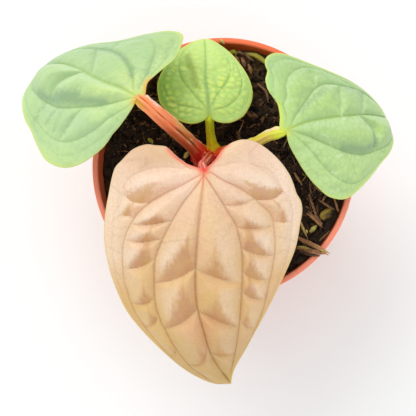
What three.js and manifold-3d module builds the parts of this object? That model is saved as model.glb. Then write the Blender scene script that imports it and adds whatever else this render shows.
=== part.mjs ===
// A potted anthurium: a plastic nursery pot full of soil, a red crown and four leaves.
// Millimetres, +Z up. The origin is the centre of the pot's underside.
import * as THREE from 'three';
import { mergeVertices } from 'three/addons/utils/BufferGeometryUtils.js';
import Module from 'manifold-3d';

// Pot
const POT_HEIGHT = 92;
const RIM_RADIUS = 52.5;
const LIP_WIDTH = 2.4;
const COLLAR_HEIGHT = 15;
const COLLAR_STEP = 1.6;
const BASE_RADIUS = 36.5;
const WALL = 1.4;
const WALL_TAPER = 0.15;
const FOOT_WIDTH = 3;
const FOOT_RISE = 1.6;
const CENTRE_PAD_RADIUS = 10;
const DRAIN_RADIUS = 2.6;
const DRAIN_CIRCLE = 22;
const DRAIN_COUNT = 6;
const ROUND_SIDES = 48;

// Soil
const SOIL_LEVEL = 83.5;
const SOIL_RING_STEP = 9;
const FLAKE_COUNT = 36;
const FIBRE_COUNT = 12;

// Plant
const CROWN = new THREE.Vector3(-7, 3.6, 84);
const CROWN_RADIUS = 3.4;
const CROWN_TOP = 90;
const PEG_RADIUS = 2.2;
const PEG_END = 71;
const BLADE_THICKNESS = 0.9;
const EDGE_PUFF = 0.45;
const JOINT_FADE = 0.25;
const GAP = 0.3;

const wasm = await Module();
wasm.setup();

// A row of [at, value] pairs read as a broken line.
function readLine(pairs, at) {
  for (let i = 1; i < pairs.length; i += 1) {
    const [a, valueA] = pairs[i - 1];
    const [b, valueB] = pairs[i];
    if (at <= b) return valueA + ((valueB - valueA) * (at - a)) / (b - a);
  }
  return pairs[pairs.length - 1][1];
}

// Seeded random numbers from 0 to 1.
function randomSource(seed) {
  let state = seed;
  return () => {
    state = (state * 1664525 + 1013904223) % 4294967296;
    return state / 4294967296;
  };
}

function smoothCurve(points) {
  const places = points.map((p) => new THREE.Vector3(...p));
  return new THREE.CatmullRomCurve3(places, false, 'centripetal');
}

// Closed mesh to solid: shared corners are merged first.
function toSolid(geometry) {
  const bare = geometry.clone();
  bare.deleteAttribute('normal');
  bare.deleteAttribute('uv');
  const merged = mergeVertices(bare, 1e-4);
  return new wasm.Manifold(new wasm.Mesh({
    numProp: 3,
    vertProperties: new Float32Array(merged.attributes.position.array),
    triVerts: new Uint32Array(merged.index.array),
  }));
}

function toGeometry(solid) {
  const { vertProperties, triVerts } = solid.getMesh();
  const geometry = new THREE.BufferGeometry();
  geometry.setAttribute('position', new THREE.BufferAttribute(vertProperties, 3));
  geometry.setIndex(new THREE.BufferAttribute(triVerts, 1));
  geometry.computeVertexNormals();
  return geometry;
}

// The solid with every cutter taken away, and only its largest piece kept.
function cutFree(solid, cutters) {
  let rest = solid;
  for (const cutter of cutters) rest = rest.subtract(cutter);
  const pieces = rest.decompose();
  return pieces.reduce((a, b) => (a.volume() > b.volume() ? a : b));
}

// A round body turned about the Z axis from [radius, height] pairs, bottom to top on the outside.
function turned(profile) {
  const points = profile.map(([radius, height]) => new THREE.Vector2(radius, height));
  const geometry = new THREE.LatheGeometry(points, ROUND_SIDES);
  geometry.rotateX(Math.PI / 2);
  return geometry;
}

// A tube of changing width along a curve. Widths are [part of length, radius] pairs, flat is the
// height of the section over its width, and ridges is how far two ribs stand out of it.
function taperedTube({ points, widths, sides, steps, flat = 1, ridges = 0 }, extra = 0) {
  const curve = smoothCurve(points);
  const { normals, binormals } = curve.computeFrenetFrames(steps, false);
  const corners = [];
  for (let i = 0; i <= steps; i += 1) {
    const centre = curve.getPointAt(i / steps);
    const radius = readLine(widths, i / steps);
    for (let k = 0; k < sides; k += 1) {
      const angle = (2 * Math.PI * k) / sides;
      const reach = radius * (1 + ridges * Math.cos(3 * angle)) + extra;
      const corner = centre.clone();
      corner.addScaledVector(normals[i], reach * Math.cos(angle) * flat);
      corner.addScaledVector(binormals[i], reach * Math.sin(angle));
      corners.push(corner);
    }
  }
  const start = corners.push(curve.getPointAt(0)) - 1;
  const end = corners.push(curve.getPointAt(1)) - 1;
  const faces = [];
  for (let k = 0; k < sides; k += 1) {
    const next = (k + 1) % sides;
    for (let i = 0; i < steps; i += 1) {
      const a = i * sides;
      const b = a + sides;
      faces.push(a + k, a + next, b + next, a + k, b + next, b + k);
    }
    faces.push(start, next, k, end, steps * sides + k, steps * sides + next);
  }
  return meshOf(corners, faces);
}

function meshOf(corners, faces) {
  const geometry = new THREE.BufferGeometry();
  geometry.setFromPoints(corners);
  geometry.setIndex(faces);
  return geometry;
}

// Inner radius of the pot at a height above its floor.
const COLLAR_LOW = POT_HEIGHT - COLLAR_HEIGHT;
const BODY_TOP_RADIUS = RIM_RADIUS - COLLAR_HEIGHT * WALL_TAPER - COLLAR_STEP;
const FLOOR = FOOT_RISE + WALL;
const POT_INSIDE = [
  [FLOOR, BASE_RADIUS - WALL],
  [COLLAR_LOW - 1, BODY_TOP_RADIUS - WALL],
  [COLLAR_LOW + 1.5, BODY_TOP_RADIUS - WALL + 0.9],
  [POT_HEIGHT - 0.8, RIM_RADIUS - LIP_WIDTH],
];

// Pot: foot ring and centre pad to stand on, tapered body, collar and thin rolled lip.
function potGeometry() {
  const padEdge = CENTRE_PAD_RADIUS + FOOT_RISE;
  const footInner = BASE_RADIUS - FOOT_WIDTH;
  const lipInner = RIM_RADIUS - LIP_WIDTH;
  const collarLowRadius = RIM_RADIUS - COLLAR_HEIGHT * WALL_TAPER;
  const outside = [
    [0, 0], [CENTRE_PAD_RADIUS, 0], [padEdge, FOOT_RISE],
    [footInner - FOOT_RISE, FOOT_RISE], [footInner, 0], [BASE_RADIUS - 0.5, 0],
    [BASE_RADIUS, 0.6], [BODY_TOP_RADIUS, COLLAR_LOW], [collarLowRadius, COLLAR_LOW],
    [RIM_RADIUS, POT_HEIGHT - 0.8], [RIM_RADIUS - 0.5, POT_HEIGHT], [lipInner + 0.4, POT_HEIGHT],
  ];
  const inside = POT_INSIDE.map(([height, radius]) => [radius, height]).reverse();
  let pot = toSolid(turned([...outside, ...inside, [0, FLOOR]]));
  for (let i = 0; i < DRAIN_COUNT; i += 1) {
    const hole = new THREE.CylinderGeometry(DRAIN_RADIUS, DRAIN_RADIUS, 4 * FLOOR, 10);
    hole.rotateX(Math.PI / 2);
    hole.translate(DRAIN_CIRCLE, 0, 0);
    hole.rotateZ((2 * Math.PI * (i + 0.5)) / DRAIN_COUNT);
    pot = pot.subtract(toSolid(hole));
  }
  return toGeometry(pot);
}

// Height of the soil: low swells, and a small mound round the crown.
function soilHeight(x, y) {
  const swell = 0.9 * Math.sin(0.23 * x + 1.3) * Math.cos(0.19 * y - 0.4);
  const lumps = 0.5 * Math.sin(0.61 * x + 0.33 * y - 0.7) * Math.cos(0.52 * y - 0.3 * x);
  const toCrown = Math.hypot(x - CROWN.x, y - CROWN.y);
  const mound = 1.4 * Math.exp(-((toCrown / 9) ** 2));
  return SOIL_LEVEL + swell + lumps + mound;
}

// A bark flake: a flat eight-sided crystal lying on the soil, sunk to about its middle.
function flake(random, reach) {
  const length = 2.2 + 3.2 * random();
  const shape = new THREE.OctahedronGeometry(1);
  shape.scale(length, length * (0.4 + 0.3 * random()), 0.9 + 0.9 * random());
  shape.rotateX(0.9 * (random() - 0.5));
  shape.rotateZ(Math.PI * random());
  const distance = reach * Math.sqrt(random());
  const angle = 2 * Math.PI * random();
  const x = distance * Math.cos(angle);
  const y = distance * Math.sin(angle);
  shape.translate(x, y, soilHeight(x, y) + 0.5);
  return shape;
}

// A fibre: a thin three-sided straw with its ends in the soil and a low arch between them.
function fibre(random, reach) {
  const distance = (reach - 4) * Math.sqrt(random());
  const angle = 2 * Math.PI * random();
  const turn = Math.PI * random();
  const half = 4 + 4 * random();
  const at = (along, rise) => {
    const x = distance * Math.cos(angle) + along * Math.cos(turn);
    const y = distance * Math.sin(angle) + along * Math.sin(turn);
    return [x, y, soilHeight(x, y) + rise];
  };
  const points = [at(-half, -0.9), at(0, 0.9), at(half, -0.9)];
  return taperedTube({ points, widths: [[0, 0.5], [1, 0.4]], sides: 3, steps: 3 });
}

// Soil: fills the pot with a gap all round. Flakes and fibres are fused to its rough top.
function soilSolid(cutters) {
  const side = POT_INSIDE.map(([height, radius]) => [radius - GAP, height]);
  side[0][1] += GAP;
  const top = readLine(POT_INSIDE, SOIL_LEVEL) - GAP;
  const below = side.filter(([, height]) => height < SOIL_LEVEL);
  const rings = [];
  for (let radius = top - 1; radius > SOIL_RING_STEP / 2; radius -= SOIL_RING_STEP) {
    rings.push([radius, SOIL_LEVEL]);
  }
  const body = turned([[0, side[0][1]], ...below, [top, SOIL_LEVEL], ...rings, [0, SOIL_LEVEL]]);
  const place = body.attributes.position;
  for (let i = 0; i < place.count; i += 1) {
    const radius = Math.hypot(place.getX(i), place.getY(i));
    if (place.getZ(i) === SOIL_LEVEL && radius < top - 0.5) {
      place.setZ(i, soilHeight(place.getX(i), place.getY(i)));
    }
  }
  let soil = toSolid(body);
  const random = randomSource(7);
  for (let i = 0; i < FLAKE_COUNT; i += 1) soil = soil.add(toSolid(flake(random, top - 3)));
  for (let i = 0; i < FIBRE_COUNT; i += 1) soil = soil.add(toSolid(fibre(random, top)));
  const room = [[0, 0], ...side, [0, POT_HEIGHT]];
  return cutFree(soil.intersect(toSolid(turned(room))), cutters);
}

// Crown: a short knobbly stem with a peg below it that stands in the soil.
function crownGeometry(extra = 0) {
  const profile = [
    [0, PEG_END - extra], [PEG_RADIUS * 0.6 + extra, PEG_END - extra],
    [PEG_RADIUS + extra, PEG_END + 3], [PEG_RADIUS + extra, CROWN.z - 2],
    [CROWN_RADIUS + extra, CROWN.z], [CROWN_RADIUS * 0.92 + extra, CROWN.z + 2],
    [CROWN_RADIUS + extra, CROWN.z + 3.5], [CROWN_RADIUS * 0.7 + extra, CROWN_TOP],
    [CROWN_RADIUS * 0.3 + extra, CROWN_TOP + extra], [0, CROWN_TOP + extra],
  ];
  const points = profile.map(([radius, height]) => new THREE.Vector2(radius, height));
  const geometry = new THREE.LatheGeometry(points, 16);
  geometry.rotateX(Math.PI / 2);
  geometry.translate(CROWN.x, CROWN.y, 0);
  return geometry;
}

// Main veins of a blade. Each row gives, at parts of the way from joint to tip, how far the vein
// lies from the midrib (0) towards the edge (1). The strips between them are quilted.
const VEINS = [
  [[0, 0], [1, 0]],
  [[0, 0], [0.1, 0.06], [0.2, 0.12], [0.3, 0.21], [0.4, 0.31], [0.5, 0.43], [0.6, 0.52], [1, 0.82]],
  [[0, 0], [0.1, 0.14], [0.2, 0.26], [0.3, 0.45], [0.4, 0.66], [0.5, 0.78], [0.75, 0.92], [1, 0.96]],
  [[0, 0], [0.1, 0.24], [0.2, 0.55], [0.3, 0.81], [0.4, 0.89], [0.6, 0.94], [1, 0.98]],
  [[0, 1], [1, 1]],
];

// Each blade has its midrib from joint to tip, and its two edges as seen from the joint looking
// to the tip. crossVeins are the parts of the way at which short veins cross the strips, midrib
// outwards, on each side. puff is how high the quilting stands, over the width of its strip.
const BLADES = {
  blade_front: {
    colour: 0xe9c8a4,
    rows: 34,
    columns: [3, 3, 2, 2],
    midrib: [[-7, -5.5, 124], [-8, -15.5, 121.5], [-9.5, -27.5, 117], [-10.5, -39.5, 111.5],
      [-10.5, -53.5, 104.5], [-8, -64.5, 98], [-4.5, -75.5, 91], [3, -86.5, 83]],
    rightEdge: [[-7, -5.5, 124], [-15, -2, 122.5], [-21.5, 3.5, 121.5], [-29, 4.5, 119.5],
      [-38.5, -1, 116], [-44.5, -18.5, 110], [-45, -36.5, 105], [-36.5, -59.5, 96],
      [-19, -78, 88], [-10, -84, 84.5], [-3.5, -86.5, 82.5], [3, -86.5, 83]],
    leftEdge: [[-7, -5.5, 124], [0, 1, 122.5], [8, 6, 121], [17, 2.5, 118], [25, -6.5, 115],
      [29.5, -20.5, 110], [27.5, -34.5, 105.5], [20, -51.5, 99], [10, -70.5, 91],
      [4, -81.5, 86.5], [3, -86.5, 83]],
    crossVeins: [
      [[0.45, 0.58, 0.73, 0.87], [0.385, 0.45, 0.525, 0.635, 0.7, 0.8], [0.33, 0.42, 0.5, 0.6]],
      [[0.46, 0.6, 0.75, 0.88], [0.345, 0.45, 0.53, 0.62, 0.68, 0.78], [0.36, 0.445, 0.5, 0.6]],
    ],
    puff: 0.21,
  },
  blade_left: {
    colour: 0xbfe39b,
    rows: 26,
    columns: [3, 2, 2, 2],
    midrib: [[-32, 22, 122], [-38, 25.5, 120], [-44.5, 28.5, 116.5], [-51, 32.5, 111],
      [-58, 37.5, 103], [-66, 41.5, 92], [-76, 43.5, 76]],
    rightEdge: [[-32, 22, 122], [-28, 28, 121.5], [-21.5, 34.5, 120.5], [-16, 42.5, 118],
      [-15.5, 46.5, 116.5], [-20.5, 49.5, 113], [-30, 50.5, 106], [-41, 49.5, 99],
      [-55.5, 50, 90], [-68.5, 47.5, 80], [-76, 43.5, 76]],
    leftEdge: [[-32, 22, 122], [-36, 15.5, 119.5], [-42, 8.5, 116.5], [-48, 1.5, 112.5],
      [-55, -1.5, 109], [-62, -2.5, 105.5], [-70, 1.5, 101], [-75, 10.5, 97],
      [-80.5, 22.5, 90], [-81.5, 30, 85], [-79.5, 37, 80], [-76, 43.5, 76]],
    crossVeins: [
      [[0.57], [0.55, 0.78], [0.45]],
      [[0.62], [0.5, 0.7], [0.45]],
    ],
    puff: 0.2,
  },
  blade_right: {
    colour: 0xb9dfa0,
    rows: 26,
    columns: [3, 2, 2, 2],
    midrib: [[23, 10.5, 114], [32, 14, 112], [41.5, 16.5, 107.5], [48.5, 18, 102.5],
      [56, 20, 94.5], [68.5, 22, 76]],
    rightEdge: [[23, 10.5, 114], [25.5, 4, 113], [30.5, -4, 110], [37.5, -11.5, 106],
      [43.5, -14.5, 103], [49.5, -13.5, 100], [56.5, -7, 96], [63, 1, 90.5],
      [69, 10, 84], [69.5, 17, 79], [68.5, 22, 76]],
    leftEdge: [[23, 10.5, 114], [21.5, 17.5, 113.5], [18.5, 25.5, 113], [16.5, 31, 112],
      [16.5, 37.5, 110], [21.5, 42, 107.5], [27, 41.5, 105], [34, 39.5, 101.5], [43, 37, 97],
      [51, 34.5, 92], [58.5, 31, 85.5], [64.5, 26.5, 79], [68.5, 22, 76]],
    crossVeins: [
      [[0.6], [0.5, 0.75], [0.45]],
      [[0.55], [0.48, 0.72], [0.4]],
    ],
    puff: 0.19,
  },
  blade_back: {
    colour: 0xb4d97a,
    rows: 20,
    columns: [2, 2, 2, 2],
    midrib: [[-5.5, 18.5, 102.5], [-6, 25, 102.5], [-7, 33, 101], [-7, 41.5, 98.5],
      [-7.5, 51, 94.5]],
    rightEdge: [[-5.5, 18.5, 102.5], [-2.5, 16, 102.5], [2.5, 15.5, 102], [8, 18.5, 101],
      [11.5, 25, 100], [11, 32, 99.5], [6.5, 40.5, 97.5], [-0.5, 48, 95.5], [-7.5, 51, 94.5]],
    leftEdge: [[-5.5, 18.5, 102.5], [-9, 15.5, 102.5], [-14.5, 15.5, 102], [-20.5, 18.5, 101],
      [-25, 24, 100.5], [-26, 31.5, 99.5], [-23, 39.5, 98], [-17, 46.5, 96], [-7.5, 51, 94.5]],
    crossVeins: [
      [[0.45, 0.65], [0.45, 0.62, 0.8], [0.45]],
      [[0.45, 0.65], [0.45, 0.62, 0.8], [0.45]],
    ],
    puff: 0.14,
  },
};

// Part of the midrib's length that belongs to a part of the edge's length.
function midribShare(t) {
  return 0.35 * t + 0.65 * t ** 1.9;
}

// Point of the blade's middle surface: a shouldered arch from the midrib to the edge.
function bladePoint(midrib, edge, across, t) {
  const inner = midrib.getPointAt(midribShare(t));
  const outer = edge.getPointAt(t);
  const shoulder = inner.clone().add(outer).multiplyScalar(0.5);
  shoulder.z += 0.5 * Math.abs(inner.z - outer.z);
  const rest = 1 - across;
  return inner.multiplyScalar(rest * rest)
    .addScaledVector(shoulder, 2 * rest * across)
    .addScaledVector(outer, across * across);
}

// Height of a quilted cell, from 0 to 1: a hipped roof between two main veins and two cross veins,
// long and gentle on the joint's side and short and steep on the tip's side.
function quilt(strip, u, t, crossVeins) {
  const roof = 1 - Math.abs(2 * u - 1) ** 1.6;
  const ends = [0, ...(crossVeins[strip] || []), 1];
  const leaned = t - 0.03 * u;
  const cell = Math.max(1, ends.findIndex((end) => end >= leaned));
  const length = ends[cell] - ends[cell - 1];
  const from = Math.max(0, leaned - ends[cell - 1]) / length;
  const hip = Math.max(0, ends[cell] - leaned) / length;
  const sides = [roof, 1.6 * from, 2.4 * hip].map((side) => Math.max(side, 1e-3) ** -4);
  return (sides[0] + sides[1] + sides[2]) ** -0.25;
}

// Columns across a blade: which strip each lies in, and how far across that strip.
function bladeColumns(counts) {
  const half = [];
  counts.forEach((count, strip) => {
    for (let k = 1; k <= count; k += 1) half.push({ strip, u: k / count });
  });
  const right = half.map((column) => ({ ...column, side: 0 })).reverse();
  const left = half.map((column) => ({ ...column, side: 1 }));
  return [...right, { strip: 0, u: 0, side: 0 }, ...left];
}

// Blade: a thin leaf whose two faces follow one quilted surface. extra grows it for cutting.
function bladeGeometry(leaf, extra = 0) {
  const midrib = smoothCurve(leaf.midrib);
  const edges = [smoothCurve(leaf.rightEdge), smoothCurve(leaf.leftEdge)];
  const columns = bladeColumns(leaf.columns);
  const joint = midrib.getPointAt(0);
  const tip = midrib.getPointAt(1);
  const pointAt = ({ strip, u, side }, t) => {
    const inner = readLine(VEINS[strip], t);
    const across = inner + (readLine(VEINS[strip + 1], t) - inner) * u;
    return bladePoint(midrib, edges[side], across, t);
  };
  const liftAt = ({ strip, u, side }, t) => {
    const width = pointAt({ strip, u: 0, side }, t).distanceTo(pointAt({ strip, u: 1, side }, t));
    const puff = strip === VEINS.length - 2 ? leaf.puff * EDGE_PUFF : leaf.puff;
    const fade = Math.min(1, t / JOINT_FADE);
    return quilt(strip, u, t, leaf.crossVeins[side]) * puff * width * fade;
  };
  const last = leaf.rows - 1;
  const grid = [columns.map(() => joint)];
  for (let i = 1; i <= last; i += 1) {
    const t = i / leaf.rows;
    grid.push(columns.map((column) => pointAt(column, t)));
  }
  grid.push(columns.map(() => tip));

  const width = columns.length;
  const normalAt = (i, j) => {
    const along = grid[i + 1][j].clone().sub(grid[i - 1][j]);
    const over = grid[i][Math.min(j + 1, width - 1)].clone().sub(grid[i][Math.max(j - 1, 0)]);
    return along.cross(over).normalize();
  };
  const middle = (width - 1) / 2;
  const jointNormal = normalAt(Math.round(leaf.rows * 0.2), middle);
  const tipNormal = normalAt(last, middle);
  const settled = (i, j) => {
    const share = Math.min(1, grid[i][j].distanceTo(joint) / 9);
    return jointNormal.clone().lerp(normalAt(i, j), share * share).normalize();
  };

  const half = BLADE_THICKNESS / 2 + extra;
  const faces = [];
  const top = [];
  const bottom = [];
  const put = (centre, normal) => {
    top.push(centre.clone().addScaledVector(normal, half));
    bottom.push(centre.clone().addScaledVector(normal, -half));
  };
  for (let i = 1; i <= last; i += 1) {
    columns.forEach((column, j) => {
      const normal = settled(i, j);
      const centre = grid[i][j].clone().addScaledVector(normal, liftAt(column, i / leaf.rows));
      if (extra > 0 && (j === 0 || j === width - 1)) {
        const along = grid[i + 1][j].clone().sub(grid[i - 1][j]).normalize();
        centre.addScaledVector(along.cross(normal), j === 0 ? -extra : extra);
      }
      put(centre, normal);
    });
  }
  const away = joint.clone().sub(midrib.getPointAt(0.1)).normalize();
  put(joint.clone().addScaledVector(away, 1.5 * extra), jointNormal);
  put(tip, tipNormal);

  const jointIndex = last * width;
  const tipIndex = jointIndex + 1;
  const under = top.length;
  const triangle = (a, b, c) => {
    faces.push(a, b, c, under + a, under + c, under + b);
  };
  for (let j = 0; j < width - 1; j += 1) {
    triangle(jointIndex, j, j + 1);
    for (let i = 0; i < last - 1; i += 1) {
      const a = i * width + j;
      const b = a + width;
      triangle(a, b, b + 1);
      triangle(a, b + 1, a + 1);
    }
    const end = (last - 1) * width + j;
    triangle(end, tipIndex, end + 1);
  }
  const wall = (a, b) => faces.push(a, under + b, b, a, under + a, under + b);
  const rim = [jointIndex];
  for (let i = 0; i < last; i += 1) rim.push(i * width);
  rim.push(tipIndex);
  for (let i = last - 1; i >= 0; i -= 1) rim.push(i * width + width - 1);
  rim.forEach((a, k) => wall(a, rim[(k + 1) % rim.length]));
  return meshOf([...top, ...bottom], faces);
}

// Leaf stalks, from the crown to the joint under each blade. The base is a wide sheath.
const STALKS = {
  petiole_left: {
    colour: 0xd8643c,
    points: [[-8.4, 4.2, 85.5], [-13.4, 10.2, 96.5], [-20.6, 16.3, 109], [-26.9, 20.2, 117],
      [-31.7, 21.9, 121.4]],
    widths: [[0, 3.7], [0.1, 3.3], [0.25, 2.6], [0.5, 2.3], [0.85, 2.2], [0.95, 2.4], [1, 1.6]],
    flat: 0.85,
  },
  petiole_back: {
    colour: 0xa9a412,
    points: [[-5.6, 5.9, 85], [-4.6, 10.5, 91], [-5, 14.6, 97], [-5.4, 18, 101.8]],
    widths: [[0, 3], [0.12, 2.8], [0.25, 1.8], [0.5, 1.55], [0.9, 1.5], [1, 1.2]],
    flat: 0.9,
  },
  petiole_right: {
    colour: 0xd5cf50,
    points: [[-4.6, 4, 86], [5.8, 6, 95], [12.4, 6.9, 103], [18, 8.8, 109.2], [22.7, 10.3, 113.4]],
    widths: [[0, 2.6], [0.15, 2.2], [0.4, 1.75], [0.9, 1.7], [1, 1.3]],
    flat: 0.85,
  },
  petiole_front: {
    colour: 0xdd6a5a,
    points: [[-7, 3.5, 90.5], [-7, 2.1, 100], [-7, -1.9, 114], [-7, -5.2, 123.3]],
    widths: [[0, 2.3], [0.3, 1.9], [0.9, 1.8], [1, 1.5]],
    flat: 0.9,
  },
};
const STALK_SHAPE = { sides: 10, steps: 12, ridges: 0.08 };

// The pink scale leaf between the stalks.
const SHEATH = {
  points: [[-3.6, 1.4, 88], [-3.4, 1, 93], [-4.2, 0.4, 99]],
  widths: [[0, 1.5], [0.5, 1.2], [1, 0.2]],
  sides: 8,
  steps: 6,
  flat: 0.5,
};

// Dry twig and straw lying together over the rim, from the soil to just outside the pot.
const TWIG_STEMS = [
  { points: [[30.6, -29.1, 85.8], [34.2, -31, 89.8], [37.4, -33.2, 94], [41.3, -35.2, 94.4]],
    widths: [[0, 0.7], [0.8, 0.9], [1, 0.5]], sides: 5, steps: 6 },
  { points: [[30.2, -33.3, 85.6], [33.7, -34.1, 89.4], [37, -34.8, 93.9], [38.8, -36.3, 94]],
    widths: [[0, 0.9], [0.8, 1.1], [1, 0.4]], sides: 5, steps: 6 },
];

// A cut yellow-green stalk lying close to the wall at the back.
const STUB = {
  points: [[8.6, 46.2, 85.4], [12.4, 45.2, 86.2], [16.2, 42.9, 86]],
  widths: [[0, 0.8], [0.5, 1.3], [1, 1.1]],
  sides: 7,
  steps: 4,
};

function stalkShape(stalk) {
  return { ...stalk, ...STALK_SHAPE };
}

function grownTwig(extra) {
  const stems = TWIG_STEMS.map((stem) => toSolid(taperedTube(stem, extra)));
  return stems[0].add(stems[1]);
}

// An oval husk lying on the soil.
function seedGeometry(extra = 0) {
  const shape = new THREE.SphereGeometry(1, 12, 8);
  shape.scale(3.1 + extra, 1.9 + extra, 1.5 + extra);
  shape.rotateY(0.2);
  shape.rotateZ(0.7);
  shape.translate(41.4, -18.2, soilHeight(41.4, -18.2) + 1.1);
  return shape;
}

const group = new THREE.Group();

function addPart(name, geometry, colour, roughness) {
  const material = new THREE.MeshStandardMaterial({ color: colour, roughness, metalness: 0 });
  const mesh = new THREE.Mesh(geometry, material);
  mesh.name = name;
  group.add(mesh);
}

// Pieces that touch are cut free of those that are already placed, with a small gap.
const grown = [toSolid(crownGeometry(GAP))];
const stalkSolids = {};
for (const [name, stalk] of Object.entries(STALKS)) {
  const blade = toSolid(bladeGeometry(BLADES[name.replace('petiole', 'blade')], GAP));
  stalkSolids[name] = cutFree(toSolid(taperedTube(stalkShape(stalk))), [...grown, blade]);
  grown.push(toSolid(taperedTube(stalkShape(stalk), GAP)));
}
const sheath = cutFree(toSolid(taperedTube(SHEATH)), grown);
grown.push(toSolid(taperedTube(SHEATH, GAP)));
const lying = [grownTwig(GAP), toSolid(taperedTube(STUB, GAP)), toSolid(seedGeometry(GAP))];

addPart('pot', potGeometry(), 0xf07a5c, 0.5);
addPart('soil', toGeometry(soilSolid([...grown, ...lying])), 0x2a1d16, 0.95);
addPart('stem', crownGeometry(), 0xb4161c, 0.5);
for (const [name, solid] of Object.entries(stalkSolids)) {
  addPart(name, toGeometry(solid), STALKS[name].colour, 0.5);
}
addPart('sheath', toGeometry(sheath), 0xe8a59a, 0.6);
for (const [name, leaf] of Object.entries(BLADES)) {
  addPart(name, bladeGeometry(leaf), leaf.colour, 0.45);
}
addPart('twig', toGeometry(grownTwig(0)), 0x8a6544, 0.9);
addPart('stub', taperedTube(STUB), 0x9a9440, 0.7);
addPart('seed', seedGeometry(), 0x7d7440, 0.7);

export default group;
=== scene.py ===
"""A potted anthurium with four leaves: a plastic nursery pot, dark potting soil, a red crown, ribbed leaf stalks,
quilted heart-shaped leaves, and what lies on the soil. Lengths are in metres, or in mm where a name ends in _mm
or a comment says so."""

import bpy
import numpy as np
from mathutils import Matrix, Vector


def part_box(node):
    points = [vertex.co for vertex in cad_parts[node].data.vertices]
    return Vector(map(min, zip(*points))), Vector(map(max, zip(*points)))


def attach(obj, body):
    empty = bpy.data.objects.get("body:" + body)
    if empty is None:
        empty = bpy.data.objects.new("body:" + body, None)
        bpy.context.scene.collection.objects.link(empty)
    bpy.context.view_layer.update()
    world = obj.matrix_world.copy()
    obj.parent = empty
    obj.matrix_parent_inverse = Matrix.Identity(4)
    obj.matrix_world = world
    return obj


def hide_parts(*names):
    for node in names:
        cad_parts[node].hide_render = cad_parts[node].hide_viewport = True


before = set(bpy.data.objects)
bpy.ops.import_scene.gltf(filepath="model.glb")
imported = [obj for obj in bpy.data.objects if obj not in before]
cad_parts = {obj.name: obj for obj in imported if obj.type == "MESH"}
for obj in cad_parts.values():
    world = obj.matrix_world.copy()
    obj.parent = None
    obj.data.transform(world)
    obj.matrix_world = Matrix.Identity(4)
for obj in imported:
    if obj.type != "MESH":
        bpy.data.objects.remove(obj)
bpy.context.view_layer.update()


# Camera: it hangs over the plant, a hand's breadth in front of the pot's middle, and looks almost straight
# down, with the back of the pot at the top of the picture.
CAMERA_PLACE = Vector((0, -0.062628, 0.537621))
CAMERA_AIM = Vector((-0.006112, -0.016856, 0.092))
CAMERA_FILM_MM = 36
CAMERA_LENS_MM = 97.415
camera_data = bpy.data.cameras.new("camera")
camera_data.sensor_width = CAMERA_FILM_MM
camera_data.lens = CAMERA_LENS_MM
backward = (CAMERA_PLACE - CAMERA_AIM).normalized()
sideways = Vector((0, 1, 0)).cross(backward).normalized()
upward = backward.cross(sideways)
camera = bpy.data.objects.new("camera", camera_data)
camera.matrix_world = Matrix((sideways, upward, backward)).transposed().to_4x4()
camera.location = CAMERA_PLACE
bpy.context.scene.collection.objects.link(camera)
bpy.context.scene.camera = camera
bpy.context.scene.view_settings.view_transform = "Standard"


# Light and floor: one large soft lamp above the back of the pot, a fainter one over the front, pale light
# from all round, and a plain pale floor that the pot stands on.
KEY_PLACE = Vector((-0.42, 0.62, 0.92))
FILL_PLACE = Vector((0.5, -0.8, 0.9))
LAMP_AIM = Vector((0, 0, 0.09))
SKY_STRENGTH = 0.86


def colour(red, green, blue):
    """A colour as a screen shows it, 0 to 255, turned into the shader's linear scale."""
    part = np.array([red, green, blue]) / 255
    linear = np.where(part < 0.04045, part / 12.92, ((part + 0.055) / 1.055) ** 2.4)
    return (*(float(c) for c in linear), 1.0)


def soft_lamp(name, place, size, power, tint):
    """A square lamp of the given side, turned towards the middle of the plant."""
    data = bpy.data.lights.new(name, "AREA")
    data.size = size
    data.energy = power
    data.color = colour(*tint)[:3]
    lamp = bpy.data.objects.new(name, data)
    lamp.matrix_world = (place - LAMP_AIM).to_track_quat("Z", "Y").to_matrix().to_4x4()
    lamp.location = place
    bpy.context.scene.collection.objects.link(lamp)


soft_lamp("key_lamp", KEY_PLACE, 0.7, 4.7, (255, 253, 250))
soft_lamp("fill_lamp", FILL_PLACE, 0.8, 1.6, (246, 250, 255))
sky = bpy.data.worlds.new("sky")
sky.use_nodes = True
sky.node_tree.nodes["Background"].inputs["Color"].default_value = (1, 1, 1, 1)
sky.node_tree.nodes["Background"].inputs["Strength"].default_value = SKY_STRENGTH
bpy.context.scene.world = sky


def put(tree, kind, inputs=(), **settings):
    """One shader node of that kind. Each input is a plain value or the socket that feeds it."""
    made = tree.nodes.new("ShaderNode" + kind)
    for name, value in settings.items():
        setattr(made, name, value)
    for name, value in dict(inputs).items():
        if isinstance(value, bpy.types.NodeSocket):
            tree.links.new(value, made.inputs[name])
        else:
            made.inputs[name].default_value = value
    return made


def new_material(name, **shader_values):
    """A material with one Principled shader. Returns it, its node tree, its shader and Object coordinates."""
    material = bpy.data.materials.new(name)
    material.use_nodes = True
    tree = material.node_tree
    shader = tree.nodes["Principled BSDF"]
    for key, value in shader_values.items():
        shader.inputs[key.replace("_", " ")].default_value = value
    return material, tree, shader, put(tree, "TexCoord").outputs["Object"]


def cloud(place, scale, detail=3.0, roughness=0.55):
    """Soft noise from 0 to 1. The scale is in patches a metre."""
    inputs = {"Vector": place, "Scale": scale, "Detail": detail, "Roughness": roughness}
    return put(place.id_data, "TexNoise", inputs).outputs["Fac"]


def tinted(share, first, second):
    """The first colour at share 0 and the second at share 1. Each is a socket, or red, green and blue on a screen."""
    first, second = (end if isinstance(end, bpy.types.NodeSocket) else colour(*end) for end in (first, second))
    inputs = {0: share, 6: first, 7: second}
    return put(share.id_data, "Mix", inputs, data_type="RGBA", clamp_factor=True).outputs[2]


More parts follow.
